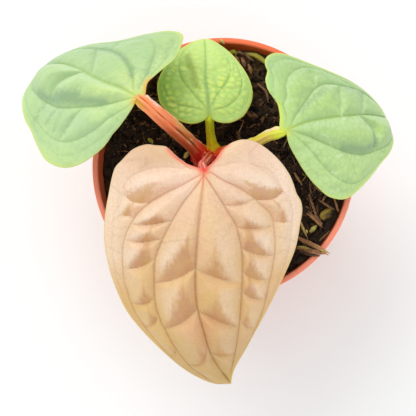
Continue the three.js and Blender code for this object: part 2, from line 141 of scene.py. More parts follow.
def feed(shader, **sockets):
    """Each of the shader's named inputs, fed by a socket."""
    for key, socket in sockets.items():
        socket.id_data.links.new(socket, shader.inputs[key.replace("_", " ")])


def grid_squares(rows, columns, closed):
    """Corner numbers of the squares between neighbouring points of a grid that is stored row by row. With the
    columns running to the right and the rows up, the squares face the viewer. A closed grid joins its last
    column to its first."""
    row, column = np.meshgrid(np.arange(rows - 1), np.arange(columns - (not closed)), indexing="ij")
    right = (column + 1) % columns
    low, high = row * columns, (row + 1) * columns
    return np.stack([low + column, low + right, high + right, high + column], -1).reshape(-1, 4)


def new_piece(name, points, faces, material, values=(), flat=None):
    """A smooth mesh piece from points (n, 3), face arrays (m, corners) that may differ in corners, named values
    for each point, and a flat place (n, 2) for each point, kept as its UV map."""
    mesh = bpy.data.meshes.new(name)
    corners = np.concatenate([f.ravel() for f in faces]).astype(np.int32)
    sizes = np.concatenate([np.full(len(f), f.shape[1]) for f in faces])
    starts = np.concatenate([[0], np.cumsum(sizes)[:-1]]).astype(np.int32)
    mesh.vertices.add(len(points))
    mesh.vertices.foreach_set("co", np.asarray(points, np.float32).ravel())
    mesh.loops.add(len(corners))
    mesh.loops.foreach_set("vertex_index", corners)
    mesh.polygons.add(len(sizes))
    mesh.polygons.foreach_set("loop_start", starts)
    mesh.update(calc_edges=True)
    mesh.shade_smooth()
    for key, amount in dict(values).items():
        layer = mesh.attributes.new(key, "FLOAT", "POINT")
        layer.data.foreach_set("value", np.asarray(amount, np.float32).ravel())
    if flat is not None:
        layer = mesh.uv_layers.new(name="flat")
        layer.uv.foreach_set("vector", np.asarray(flat, np.float32)[corners].ravel())
    mesh.materials.append(material)
    piece = bpy.data.objects.new(name, mesh)
    bpy.context.scene.collection.objects.link(piece)
    return piece


FLOOR_HALF = 1.6
FLOOR_GRID = 9
paper, tree, shader, place = new_material("pale_floor", Roughness=0.85)
feed(shader, Base_Color=tinted(cloud(place, 9), (248, 252, 252), (244, 249, 249)))
floor_side = np.linspace(-FLOOR_HALF, FLOOR_HALF, FLOOR_GRID)
floor_x, floor_y = np.meshgrid(floor_side, floor_side)
floor_points = np.stack([floor_x.ravel(), floor_y.ravel(), np.zeros(floor_x.size)], -1)
floor = new_piece("floor", floor_points, [grid_squares(FLOOR_GRID, FLOOR_GRID, False)], paper)


# Pot: a thin-walled nursery pot, moulded in one piece from satin terracotta-coloured plastic. It stands on a
# foot ring and a centre pad, has six drain holes in its raised floor, and a stepped collar with a flat lip.
MM = 0.001
POT_FLOOR_MM = 3
POT_OUTSIDE_MM = [(0, 0), (10, 0), (11.6, 1.6), (31.9, 1.6), (33.5, 0), (36, 0), (36.5, 0.6), (48.65, 77),
                  (50.25, 77), (52.5, 91.2), (52.3, 91.9), (51.6, 92), (50.5, 92)]
POT_INSIDE_MM = [(50.1, 91.2), (48.15, 78.5), (47.25, 76), (35.1, POT_FLOOR_MM), (0, POT_FLOOR_MM)]
CORNER_ROUND_MM = 0.5
POT_SIDES = 180
DRAIN_RADIUS = 2.6 * MM
DRAIN_CIRCLE = 22 * MM
DRAIN_COUNT = 6
DRILL_LOW, DRILL_HIGH = -0.01, 0.02
DRILL_SIDES = 32
WALL_LEAN = -0.1535
WALL_FOOT_INSIDE = 0.0366
LIP_TOP = 0.0918


def rounded(corners, radius, steps=3):
    """A broken line with its inner corners made round: each becomes a short quadratic curve that starts and ends
    the radius away from the corner, or less on a short side."""
    corners = np.array(corners, float)
    line = [corners[:1]]
    share = np.linspace(0, 1, steps + 1)[:, None]
    for before, corner, after in zip(corners, corners[1:], corners[2:]):
        start = corner + (before - corner) * min(0.45, radius / np.linalg.norm(before - corner))
        end = corner + (after - corner) * min(0.45, radius / np.linalg.norm(after - corner))
        line.append((1 - share) ** 2 * start + 2 * share * (1 - share) * corner + share ** 2 * end)
    return np.concatenate([*line, corners[-1:]])


def turned(profile, sides):
    """The profile's (radius, height) pairs carried round the Z axis, one grid row for each pair."""
    angle = np.linspace(0, 2 * np.pi, sides, endpoint=False)
    radius, height = np.array(profile).T[:, :, None]
    return np.stack([radius * np.cos(angle), radius * np.sin(angle), height + 0 * angle], -1)


def closed_body(grid, start, end):
    """Points and faces of a grid whose columns go round a body, closed with one point at each end."""
    rows, columns = grid.shape[:2]
    points = np.concatenate([grid.reshape(-1, 3), [start, end]])
    round_trip = np.arange(columns)
    following = (round_trip + 1) % columns
    first = np.full(columns, rows * columns)
    last = (rows - 1) * columns
    near = np.stack([first, following, round_trip], -1)
    far = np.stack([first + 1, last + round_trip, last + following], -1)
    return points, [grid_squares(rows, columns, True), near, far]


def part_of(value, low, high, to_low=0.0, to_high=1.0):
    """The value moved from the range low to high into another range, and held there."""
    inputs = {"Value": value, "From Min": low, "From Max": high, "To Min": to_low, "To Max": to_high}
    return put(value.id_data, "MapRange", inputs, clamp=True).outputs["Result"]


def times(first, *others, way="MULTIPLY"):
    """The values multiplied together, or joined by another sum where the way names it."""
    for other in others:
        first = put(first.id_data, "Math", {0: first, 1: other}, operation=way).outputs["Value"]
    return first


def coated(skin, *coats):
    """The skin under thin coats of colour, laid on one after the other. A coat is a colour and then its share of the
    surface, given as one value or as several that are multiplied together."""
    for tint, *shares in coats:
        skin = tinted(times(*shares), skin, tint)
    return skin


def bumped(shader, height, distance, strength=1.0):
    """The shader's surface raised by the height, 0 to 1, times the distance."""
    inputs = {"Height": height, "Distance": distance, "Strength": strength}
    feed(shader, Normal=put(height.id_data, "Bump", inputs).outputs["Normal"])


def stretched(place, x, y, z):
    """The place with each of its three ways stretched, so that a pattern on it is squeezed by as much."""
    return put(place.id_data, "Mapping", {"Vector": place, "Scale": (x, y, z)}).outputs["Vector"]


pot_plastic, tree, shader, place = new_material(
    "pot_plastic", Roughness=0.45, Specular_IOR_Level=0.3, Subsurface_Weight=0.12,
    Subsurface_Radius=(0.004, 0.0015, 0.0008), Subsurface_Scale=1.0)
parted = put(tree, "SeparateXYZ", {"Vector": place}).outputs
height, backward_part = parted["Z"], parted["Y"]
flowed = stretched(place, 1, 1, 0.12)
# Painted highlight: glare on the top of the lip, pale pink at the front and orange at the back.
lip_glare_tint = tinted(part_of(backward_part, 0.01, 0.04), (255, 151, 121), (253, 123, 74))
splashed = times(part_of(cloud(place, 210, 6, 0.7), 0.6, 0.68), part_of(height, 0.088, 0.0835))
flat_place = put(tree, "VectorMath", {0: place, 1: (1, 1, 0)}, operation="MULTIPLY").outputs["Vector"]
from_axis = put(tree, "VectorMath", {0: flat_place}, operation="LENGTH").outputs["Value"]
upright = put(tree, "Math", {0: height, 1: WALL_LEAN, 2: from_axis}, operation="MULTIPLY_ADD").outputs["Value"]
rightward = put(tree, "VectorMath", {0: place, 1: (20, -20, 0)}, operation="DOT_PRODUCT").outputs["Value"]
inside = times(part_of(height, LIP_TOP - 0.0003, LIP_TOP - 0.001), part_of(height, 0.07, 0.075),
               part_of(upright, WALL_FOOT_INSIDE, WALL_FOOT_INSIDE - 0.0003))
plastic = coated(
    tinted(cloud(flowed, 60, 4), (238, 131, 99), (230, 120, 87)),
    ((243, 132, 96), part_of(cloud(place, 24, 5, 0.65), 0.56, 0.72, 0, 0.7)),
    # Painted highlight on the top of the lip.
    (lip_glare_tint, part_of(height, LIP_TOP - 0.001, LIP_TOP, 0, 0.85)),
    ((120, 62, 34), splashed, 0.4),
    # Painted shade: the inner wall below the lip is darkened to a deep orange-brown, most at the back.
    ((190, 84, 14), inside, part_of(backward_part, 0, 0.04, 0.5, 0.9)),
    # Painted shade with some dirt: the inner wall at the front right is darkened almost to the soil's colour.
    ((48, 24, 14), inside, part_of(rightward, 0.7, 1.1), part_of(height, 0.08, 0.084),
     part_of(cloud(place, 90, 4), 0.3, 0.5, 0.55, 0.9)),
    ((250, 170, 144), part_of(cloud(flowed, 900, 2), 0.68, 0.76, 0, 0.14)))
feed(shader, Base_Color=plastic, Roughness=part_of(cloud(place, 130, 4), 0.3, 0.7, 0.36, 0.52))
bumped(shader, cloud(place, 1400, 3), 0.00006, 0.5)

profile = rounded(np.array(POT_OUTSIDE_MM + POT_INSIDE_MM) * MM, CORNER_ROUND_MM * MM)
points, faces = closed_body(turned(profile[1:-1], POT_SIDES), (0, 0, 0), (0, 0, POT_FLOOR_MM * MM))
pot = new_piece("nursery_pot", points, faces, pot_plastic)
drills = []
for k in range(DRAIN_COUNT):
    drill_grid = turned([(DRAIN_RADIUS, DRILL_LOW), (DRAIN_RADIUS, DRILL_HIGH)], DRILL_SIDES)
    angle = 2 * np.pi * (k + 0.5) / DRAIN_COUNT
    centre = np.array([DRAIN_CIRCLE * np.cos(angle), DRAIN_CIRCLE * np.sin(angle), 0])
    points, faces = closed_body(drill_grid + centre, centre + (0, 0, DRILL_LOW), centre + (0, 0, DRILL_HIGH))
    drills.append(new_piece(f"drill_{k}", points, faces, pot_plastic))
for drill in drills:
    cut = pot.modifiers.new("drain_hole", "BOOLEAN")
    cut.object = drill
    cut.operation = "DIFFERENCE"
shaped = bpy.data.meshes.new_from_object(pot.evaluated_get(bpy.context.evaluated_depsgraph_get()))
pot.modifiers.clear()
pot.data = shaped
for drill in drills:
    bpy.data.objects.remove(drill)
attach(pot, "root")
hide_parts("pot")


# Soil: damp, nearly black peat that fills the pot to about 8 mm below the rim, heaped a little round the crown.
# Its top is loose and lumpy. It lies against the pot's wall all round.
SOIL_LEVEL_MM = 83.5
CROWN_MM = np.array([-7, 3.6])
SOIL_GRID = 250
SWELL_RISE_MM, LUMP_RISE_MM = 0.9, 0.5
MOUND_RISE_MM, MOUND_RADIUS_MM = 1.4, 9
HEAP_FRONT_MM, HEAP_BACK_MM, HEAP_ALL_ROUND_MM = 4.2, 2.6, 0.5
HEAP_EDGE_MM, HEAP_WIDTH_MM = 48.6, 2.4
CLOD_RISE_MM, CLEFT_DEPTH_MM, CRUMB_RISE_MM = 0.9, 1.5, 0.42
LOOSE_EDGE_MM, LOOSE_FADE_MM = 48.8, 3
WALL_GAP_MM = 0.06
WALL_LEVELS_MM = np.array([80.0, 78.5, 76.0, 40.0, POT_FLOOR_MM + 0.1])[:, None]


def lattice_noise(x, y, seed):
    """Random heights from -1 to 1 at the whole numbers, joined by smooth steps in between."""
    table = np.random.default_rng(seed).uniform(-1, 1, (128, 128))
    left, low = np.floor(x).astype(int), np.floor(y).astype(int)
    u, v = x - left, y - low
    u, v = u * u * (3 - 2 * u), v * v * (3 - 2 * v)
    corner = [[table[(left + i) % 128, (low + j) % 128] for j in (0, 1)] for i in (0, 1)]
    before = corner[0][0] + (corner[0][1] - corner[0][0]) * v
    after = corner[1][0] + (corner[1][1] - corner[1][0]) * v
    return before + (after - before) * u


def rough(x, y, size, seed, layers=4):
    """Layers of lattice noise, each half as wide and half as high as the one before. The widest has that size."""
    return sum(lattice_noise(x / size * 2 ** k + 31 * k, y / size * 2 ** k - 17 * k, seed + k) / 2 ** k
               for k in range(layers))


def swell_mm(x, y):
    """The packed soil's own height: low swells, and a small mound round the crown."""
    swell = SWELL_RISE_MM * np.sin(0.23 * x + 1.3) * np.cos(0.19 * y - 0.4)
    lumps = LUMP_RISE_MM * np.sin(0.61 * x + 0.33 * y - 0.7) * np.cos(0.52 * y - 0.3 * x)
    away = np.hypot(x - CROWN_MM[0], y - CROWN_MM[1])
    return SOIL_LEVEL_MM + swell + lumps + MOUND_RISE_MM * np.exp(-((away / MOUND_RADIUS_MM) ** 2))


def heap_mm(x, y):
    """Soil pushed up against the wall: most at the right and in front of it, less at the back."""
    bearing = np.arctan2(y, x)
    front_right = np.exp(-(((bearing + 0.62) / 0.5) ** 2))
    back = np.exp(-(((bearing - 1.25) / 0.5) ** 2))
    gap = np.maximum(0, HEAP_EDGE_MM - np.hypot(x, y))
    uneven = 1 + 0.3 * rough(x, y, 6, 71, 2)
    height = HEAP_FRONT_MM * front_right + HEAP_BACK_MM * back + HEAP_ALL_ROUND_MM
    return height * uneven * np.exp(-((gap / HEAP_WIDTH_MM) ** 2))


def soil_mm(x, y):
    """Height of the loose top: the swells, clods with clefts between them, small crumbs and the heaps by the wall."""
    clods = CLOD_RISE_MM * rough(x, y, 5.5, 11) + 0.5
    clefts = -CLEFT_DEPTH_MM * np.exp(-((rough(x, y, 8.0, 23, 3) / 0.12) ** 2))
    crumbs = CRUMB_RISE_MM * np.abs(rough(x, y, 1.7, 41, 3))
    at_wall = np.clip((LOOSE_EDGE_MM - np.hypot(x, y)) / LOOSE_FADE_MM, 0, 1)
    return swell_mm(x, y) - 0.3 + (clods + clefts + crumbs) * (0.35 + 0.65 * at_wall) + heap_mm(x, y)


def wall_mm(height):
    """Radius of the soil against the pot's wall at a height."""
    radius, level = np.array(POT_INSIDE_MM[::-1]).T
    return np.interp(height, level[1:], radius[1:]) - WALL_GAP_MM


soil_stuff, tree, shader, place = new_material("potting_soil", Roughness=0.9, Specular_IOR_Level=0.25)
# Painted light: the soil towards the back of the pot is lightened to a pale brown.
lit_soil_back = part_of(put(tree, "SeparateXYZ", {"Vector": place}).outputs["Y"], 0.022, 0.04)
peat = coated(
    tinted(cloud(place, 420, 6, 0.7), (23, 16, 11), (64, 46, 33)),
    ((86, 60, 43), part_of(cloud(place, 150, 5, 0.6), 0.5, 0.68, 0, 0.8)),
    ((124, 98, 56), lit_soil_back, part_of(cloud(place, 260, 4), 0.4, 0.65, 0.15, 0.75)),
    ((58, 60, 30), part_of(cloud(place, 70, 4, 0.6), 0.6, 0.72, 0, 0.4)),
    ((96, 74, 56), part_of(cloud(place, 1200, 3), 0.62, 0.72, 0, 0.5)))
feed(shader, Base_Color=peat, Roughness=part_of(cloud(place, 90, 3), 0.4, 0.6, 0.62, 0.95))
bumped(shader, cloud(place, 2600, 5, 0.7), 0.0004, 0.8)

side = np.linspace(-1, 1, SOIL_GRID)
u, v = np.meshgrid(side, side)
soil_reach = wall_mm(SOIL_LEVEL_MM)
x_mm = soil_reach * u * np.sqrt(1 - v * v / 2)
y_mm = soil_reach * v * np.sqrt(1 - u * u / 2)
soil_top = soil_mm(x_mm, y_mm)
near_wall = (np.hypot(x_mm, y_mm) / soil_reach) ** 12
out_to_wall = 1 + near_wall * (wall_mm(soil_top) / soil_reach - 1)
top = np.stack([x_mm * out_to_wall, y_mm * out_to_wall, soil_top], -1).reshape(-1, 3)
number = np.arange(SOIL_GRID ** 2).reshape(SOIL_GRID, SOIL_GRID)
rim = np.concatenate([number[0, :-1], number[:-1, -1], number[-1, :0:-1], number[:0:-1, 0]])
rim_angle = np.arctan2(top[rim, 1], top[rim, 0])
rim_radius = wall_mm(WALL_LEVELS_MM)
wall = np.stack([rim_radius * np.cos(rim_angle), rim_radius * np.sin(rim_angle), WALL_LEVELS_MM + 0 * rim_angle], -1)
points = np.concatenate([top, wall.reshape(-1, 3), [(0, 0, WALL_LEVELS_MM[-1, 0])]])
ring = len(rim)
wall_numbers = np.concatenate([rim[None], len(top) + np.arange(wall.shape[0] * ring).reshape(-1, ring)])
down, along = wall_numbers[1:], wall_numbers[:-1]
wall_squares = np.stack([along, down, np.roll(down, -1, 1), np.roll(along, -1, 1)], -1).reshape(-1, 4)
under = np.stack([wall_numbers[-1], np.full(ring, len(points) - 1), np.roll(wall_numbers[-1], -1)], -1)
soil_faces = [grid_squares(SOIL_GRID, SOIL_GRID, False), wall_squares, under]
soil = new_piece("soil_bed", points * MM, soil_faces, soil_stuff)
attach(soil, "root")
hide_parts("soil")


# Litter in the soil: crumbs of peat, flat flakes of bark and plant fibres. They are mixed into the soil, and lie
# on it or stick out of it.
LITTER_REACH_MM = 47.2
FLAKE_REACH_MM = 45.5
FIBRE_REACH_MM = 46
CRUMB_COUNT = 2400
CRUMB_LEAST_MM, CRUMB_RANGE_MM = 0.32, 0.75
FLAKE_COUNT = 300
FLAKE_LEAST_MM, FLAKE_RANGE_MM = 0.9, 2.3
FIBRE_COUNT = 620
FIBRE_LEAST_MM, FIBRE_RANGE_MM = 2.5, 8.5
FIBRE_THIN_MM, FIBRE_THICKER_MM = 0.12, 0.26
STRAND_SIDES = 4
STRAND_STEPS = 7
STRAND_REACH_MM = 48.2


def scattered(count, seed, reach=LITTER_REACH_MM):
    """Random places on a round bed, as even as seeded chance makes them."""
    chance = np.random.default_rng(seed)
    away, angle = reach * np.sqrt(chance.random(count)), 2 * np.pi * chance.random(count)
    return away * np.cos(angle), away * np.sin(angle), chance


def turned_at_random(chance, count, lean):
    """Turning matrices: any turn about the upright, after a lean of up to the given angle."""
    spin, tip = 2 * np.pi * chance.random(count), lean * (2 * chance.random(count) - 1)
    cos_spin, sin_spin, cos_tip, sin_tip = np.cos(spin), np.sin(spin), np.cos(tip), np.sin(tip)
    zero = np.zeros(count)
    rows = [[cos_spin, -sin_spin * cos_tip, sin_spin * sin_tip],
            [sin_spin, cos_spin * cos_tip, -cos_spin * sin_tip], [zero, sin_tip, cos_tip]]
    return np.moveaxis(np.array(rows), -1, 0)


def copies(shape, faces, sizes, turns, places):
    """One mesh of many small lumps: the shape is stretched, turned and set down once for each row of sizes."""
    count = len(sizes)
    points = np.einsum("nij,nvj->nvi", turns, shape * sizes[:, None]) + places[:, None]
    shift = np.arange(count)[:, None, None] * shape.shape[1]
    return points.reshape(-1, 3), (faces + shift).reshape(-1, faces.shape[1])


def ramped(value, stops, way="LINEAR"):
    """A row of (place, colour) stops read at the value."""
    ramp = put(value.id_data, "ValToRGB", {"Fac": value})
    ramp.color_ramp.interpolation = way
    while len(ramp.color_ramp.elements) < len(stops):
        ramp.color_ramp.elements.new(0.5)
    for element, (at, tint) in zip(ramp.color_ramp.elements, stops):
        element.position, element.color = at, colour(*tint)
    return ramp.outputs["Color"]


def plus(first, *others):
    """The values added up."""
    return times(first, *others, way="ADD")


def marks(tree, *names):
    """A piece's named values for each point, as sockets."""
    return [put(tree, "Attribute", attribute_name=name).outputs["Fac"] for name in names]


def toned_material(name, stops, roughness, scale):
    """A dry plant material whose colour follows each bit's own tone, 0 to 1, with streaks and a rough skin."""
    material, tree, shader, place = new_material(name, Roughness=roughness, Specular_IOR_Level=0.3)
    mottled = plus(*marks(tree, "tone"), part_of(cloud(place, scale, 4), 0.3, 0.7, -0.16, 0.16))
    feed(shader, Base_Color=ramped(mottled, stops))
    bumped(shader, cloud(place, scale * 2.5, 4), 0.0002, 0.6)
    return material


golden = (1 + 5 ** 0.5) / 2
ball = np.array([(-1, golden, 0), (1, golden, 0), (-1, -golden, 0), (1, -golden, 0), (0, -1, golden), (0, 1, golden),
                 (0, -1, -golden), (0, 1, -golden), (golden, 0, -1), (golden, 0, 1), (-golden, 0, -1),
                 (-golden, 0, 1)]) / np.hypot(1, golden)
ball_faces = np.array([(0, 11, 5), (0, 5, 1), (0, 1, 7), (0, 7, 10), (0, 10, 11), (1, 5, 9), (5, 11, 4), (11, 10, 2),
                       (10, 7, 6), (7, 1, 8), (3, 9, 4), (3, 4, 2), (3, 2, 6), (3, 6, 8), (3, 8, 9), (4, 9, 5),
                       (2, 4, 11), (6, 2, 10), (8, 6, 7), (9, 8, 1)])
x, y, chance = scattered(CRUMB_COUNT, 101)
sizes = CRUMB_LEAST_MM + CRUMB_RANGE_MM * chance.random((CRUMB_COUNT, 1)) ** 2.2
sizes = sizes * (0.7 + 0.6 * chance.random((CRUMB_COUNT, 3)))
lumpy = ball * (0.75 + 0.5 * chance.random((CRUMB_COUNT, 12, 1)))
places = np.stack([x, y, soil_mm(x, y) + 0.25 * sizes[:, 2]], -1)
points, faces = copies(lumpy, ball_faces, sizes, turned_at_random(chance, CRUMB_COUNT, 1.2), places)
crumb_stuff = toned_material("peat_crumb", [(0, (12, 9, 8)), (0.45, (34, 25, 21)), (0.75, (66, 46, 34)),
                                            (0.9, (104, 78, 54)), (1, (96, 92, 52))], 0.92, 700)
crumbs = new_piece("soil_crumbs", points * MM, [faces], crumb_stuff,
                   {"tone": np.repeat(chance.random(CRUMB_COUNT) ** 1.6, 12)})
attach(crumbs, "root")

slab = np.array([(-1, -0.5, -0.5), (0, -1, -0.6), (1, -0.35, -0.4), (0.9, 0.45, -0.5), (-0.1, 1, -0.5),
                 (-1, 0.3, -0.4), (-0.9, -0.4, 0.4), (0.1, -0.85, 0.6), (0.95, -0.3, 0.5), (0.8, 0.4, 0.4),
                 (0, 0.85, 0.6), (-0.85, 0.25, 0.5)])
slab_faces = np.array([(6, 7, 8, 9), (6, 9, 10, 11), (0, 3, 2, 1), (0, 5, 4, 3), (0, 1, 7, 6), (1, 2, 8, 7),
                       (2, 3, 9, 8), (3, 4, 10, 9), (4, 5, 11, 10), (5, 0, 6, 11)])
x, y, chance = scattered(FLAKE_COUNT, 202, FLAKE_REACH_MM)
length = FLAKE_LEAST_MM + FLAKE_RANGE_MM * chance.random(FLAKE_COUNT) ** 1.8
sizes = np.stack([length, length * (0.25 + 0.4 * chance.random(FLAKE_COUNT)),
                  0.25 + 0.35 * chance.random(FLAKE_COUNT)], -1)
ragged = slab * (0.8 + 0.4 * chance.random((FLAKE_COUNT, 12, 1)))
places = np.stack([x, y, soil_mm(x, y) + 0.35], -1)
points, faces = copies(ragged, slab_faces, sizes, turned_at_random(chance, FLAKE_COUNT, 0.6), places)
bark_stuff = toned_material("bark_flake", [(0, (22, 15, 12)), (0.4, (58, 38, 27)), (0.7, (98, 66, 44)),
                                           (0.88, (140, 100, 66)), (1, (128, 118, 66))], 0.85, 500)
flakes = new_piece("bark_flakes", points * MM, [faces], bark_stuff,
                   {"tone": np.repeat(chance.random(FLAKE_COUNT) ** 1.3, 12)})
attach(flakes, "root")


def strands(middle_x, middle_y, turn, length, bend, lift, width):
    """Thin fibres lying on the soil. Each is a low arch with a side bend: its line runs along its turn, moves
    sideways by the bend and up by the lift in its middle, and its ends go into the soil. All sizes in mm."""
    at = np.linspace(-0.5, 0.5, STRAND_STEPS)
    arch = 1 - 4 * at ** 2
    along, aside = length[:, None] * at, bend[:, None] * arch
    cosine, sine = np.cos(turn)[:, None], np.sin(turn)[:, None]
    x = middle_x[:, None] + along * cosine - aside * sine
    y = middle_y[:, None] + along * sine + aside * cosine
    held = np.minimum(1, STRAND_REACH_MM / np.maximum(np.hypot(x, y), 1e-6))
    x, y = x * held, y * held
    z = soil_mm(x, y) * 0.35 + soil_mm(middle_x, middle_y)[:, None] * 0.65 + lift[:, None] * arch - 0.35 + 0.5 * arch
    angle = np.linspace(0, 2 * np.pi, STRAND_SIDES, endpoint=False)
    thin = width[:, None] * (0.35 + 0.65 * arch ** 0.5)
    out = thin[..., None] * np.cos(angle)
    up = thin[..., None] * np.sin(angle)
    places = [x[..., None] - out * sine[..., None], y[..., None] + out * cosine[..., None], z[..., None] + up]
    points = np.stack(places, -1).reshape(-1, 3)
    one = grid_squares(STRAND_STEPS, STRAND_SIDES, True)
    last = (STRAND_STEPS - 1) * STRAND_SIDES
    ends = np.array([(3, 2, 1, 0), (last, last + 1, last + 2, last + 3)])
    shift = np.arange(len(turn))[:, None, None] * STRAND_STEPS * STRAND_SIDES
    return points, (np.concatenate([one, ends]) + shift).reshape(-1, 4)


x, y, chance = scattered(FIBRE_COUNT, 303, FIBRE_REACH_MM)
length = FIBRE_LEAST_MM + FIBRE_RANGE_MM * chance.random(FIBRE_COUNT) ** 1.7
points, faces = strands(x, y, 2 * np.pi * chance.random(FIBRE_COUNT), length,
                        length * 0.35 * (chance.random(FIBRE_COUNT) - 0.5), 1.1 * chance.random(FIBRE_COUNT),
                        FIBRE_THIN_MM + FIBRE_THICKER_MM * chance.random(FIBRE_COUNT) ** 2)
fibre_stuff = toned_material("plant_fibre", [(0, (40, 26, 19)), (0.4, (84, 56, 38)), (0.7, (132, 92, 60)),
                                             (0.9, (176, 132, 84)), (1, (150, 140, 80))], 0.8, 900)
fibres = new_piece("soil_fibres", points * MM, [faces], fibre_stuff,
                   {"tone": np.repeat(chance.random(FIBRE_COUNT) ** 1.4, STRAND_STEPS * STRAND_SIDES)})
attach(fibres, "root")


# Crown: the short, fleshy red stem that all the stalks spring from. It is one growth with its root end in the
# soil, and ringed by the scars of older leaves.
CROWN_CENTRE = np.array([-0.007, 0.0036, 0])
CROWN_LOW_MM, CROWN_TOP_MM = 71, 92.5
CROWN_FOOT_MM, CROWN_RISE_MM = 80, 10.7
CROWN_PROFILE_MM = [(0, CROWN_LOW_MM), (1.4, 71), (2.2, 74), (3, 82), (5.6, 84), (5.4, 86), (4.9, 87.5), (4, 89.6),
                    (2.6, 91.4), (1, 92.3), (0, CROWN_TOP_MM)]
CROWN_SIDES = 64


def flesh_material(name, low, middle, high, pale_ridge, dark_groove, roughness=0.36, end=None, patches=()):
    """Moist green flesh under a clear skin. Its colour goes from low through middle to high along the piece, with
    paler ridges, darker grooves, fine lengthwise streaks and, at the far end, a tint of its own. A patch is (from,
    to) along the piece, (from, to) aside from its top line, a colour and a strength, with ragged borders."""
    material, tree, shader, place = new_material(
        name, Roughness=roughness, Specular_IOR_Level=0.28, Subsurface_Weight=0.18,
        Subsurface_Radius=(0.003, 0.0015, 0.0008), Subsurface_Scale=1.0)
    along, ridge = marks(tree, "along", "ridge")
    streaks = stretched(put(tree, "UVMap", uv_map="flat").outputs["UV"], 60, 2.2, 1)
    coats = [(pale_ridge, part_of(cloud(streaks, 1, 4, 0.6), 0.35, 0.7, 0, 0.35)),
             (end or high, part_of(along, 0.86, 0.97, 0, 0.85))]
    if patches:
        wander = part_of(cloud(place, 500, 4), 0.3, 0.7, -0.5, 0.5)
        aside, above = marks(tree, "aside", "above")
        aside, shifted = plus(times(wander, 0.35), aside), plus(times(wander, 0.05), along)
    for start, stop, left, right, tint, strength in patches:
        coats.append((tint, part_of(shifted, start - 0.04, start + 0.04), part_of(shifted, stop + 0.04, stop - 0.04),
                      part_of(aside, left - 0.12, left + 0.12), part_of(aside, right + 0.12, right - 0.12),
                      part_of(above, -0.3, 0), strength))
    coats += [(pale_ridge, part_of(ridge, 0.15, 1, 0, 0.8)), (dark_groove, part_of(ridge, -0.1, -1, 0, 0.9)),
              (dark_groove, part_of(cloud(place, 800, 4), 0.6, 0.72, 0, 0.25))]
    skin = ramped(along, [(0.02, low), (0.42, middle), (0.98, high)], "B_SPLINE")
    feed(shader, Base_Color=coated(skin, *coats))
    bumped(shader, cloud(place, 1600, 3), 0.00012, 0.5)
    return material


crown_flesh = flesh_material("crown_flesh", (150, 14, 12), (220, 6, 12), (236, 14, 18), (250, 90, 80), (180, 2, 8))
grid = turned(rounded(CROWN_PROFILE_MM, 0.8, 5)[1:-1], CROWN_SIDES)
bearing = np.arctan2(grid[..., 1], grid[..., 0])
knobs = 1 + 0.1 * np.sin(3 * bearing + 0.5 * grid[..., 2]) + 0.07 * np.sin(7 * bearing - 0.9 * grid[..., 2])
grid[..., :2] *= knobs[..., None]
points, faces = closed_body(grid, (0, 0, CROWN_LOW_MM), (0, 0, CROWN_TOP_MM))
upright = np.clip((points[:, 2] - CROWN_FOOT_MM) / CROWN_RISE_MM, 0, 1)
crown = new_piece("crown", points * MM + CROWN_CENTRE, faces, crown_flesh,
                  {"along": upright, "ridge": 0.5 * np.sin(2.4 * points[:, 2])},
                  np.stack([np.arctan2(points[:, 1], points[:, 0]) / 6, points[:, 2] / 10], -1))
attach(crown, "root")
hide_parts("stem")


# Leaf stalks: fleshy, ribbed and grooved on top, each wider at its base, where it clasps the crown, and a little
# thicker just under its blade. They grow from the crown and are one with their blades.
STALK_STEPS = 150
STALK_SIDES = 72
RIB_HEIGHT = 0.22
SCAR_RING_MM = 0.35
SCAR_RISE, SCAR_DIP = 0.24, 0.06
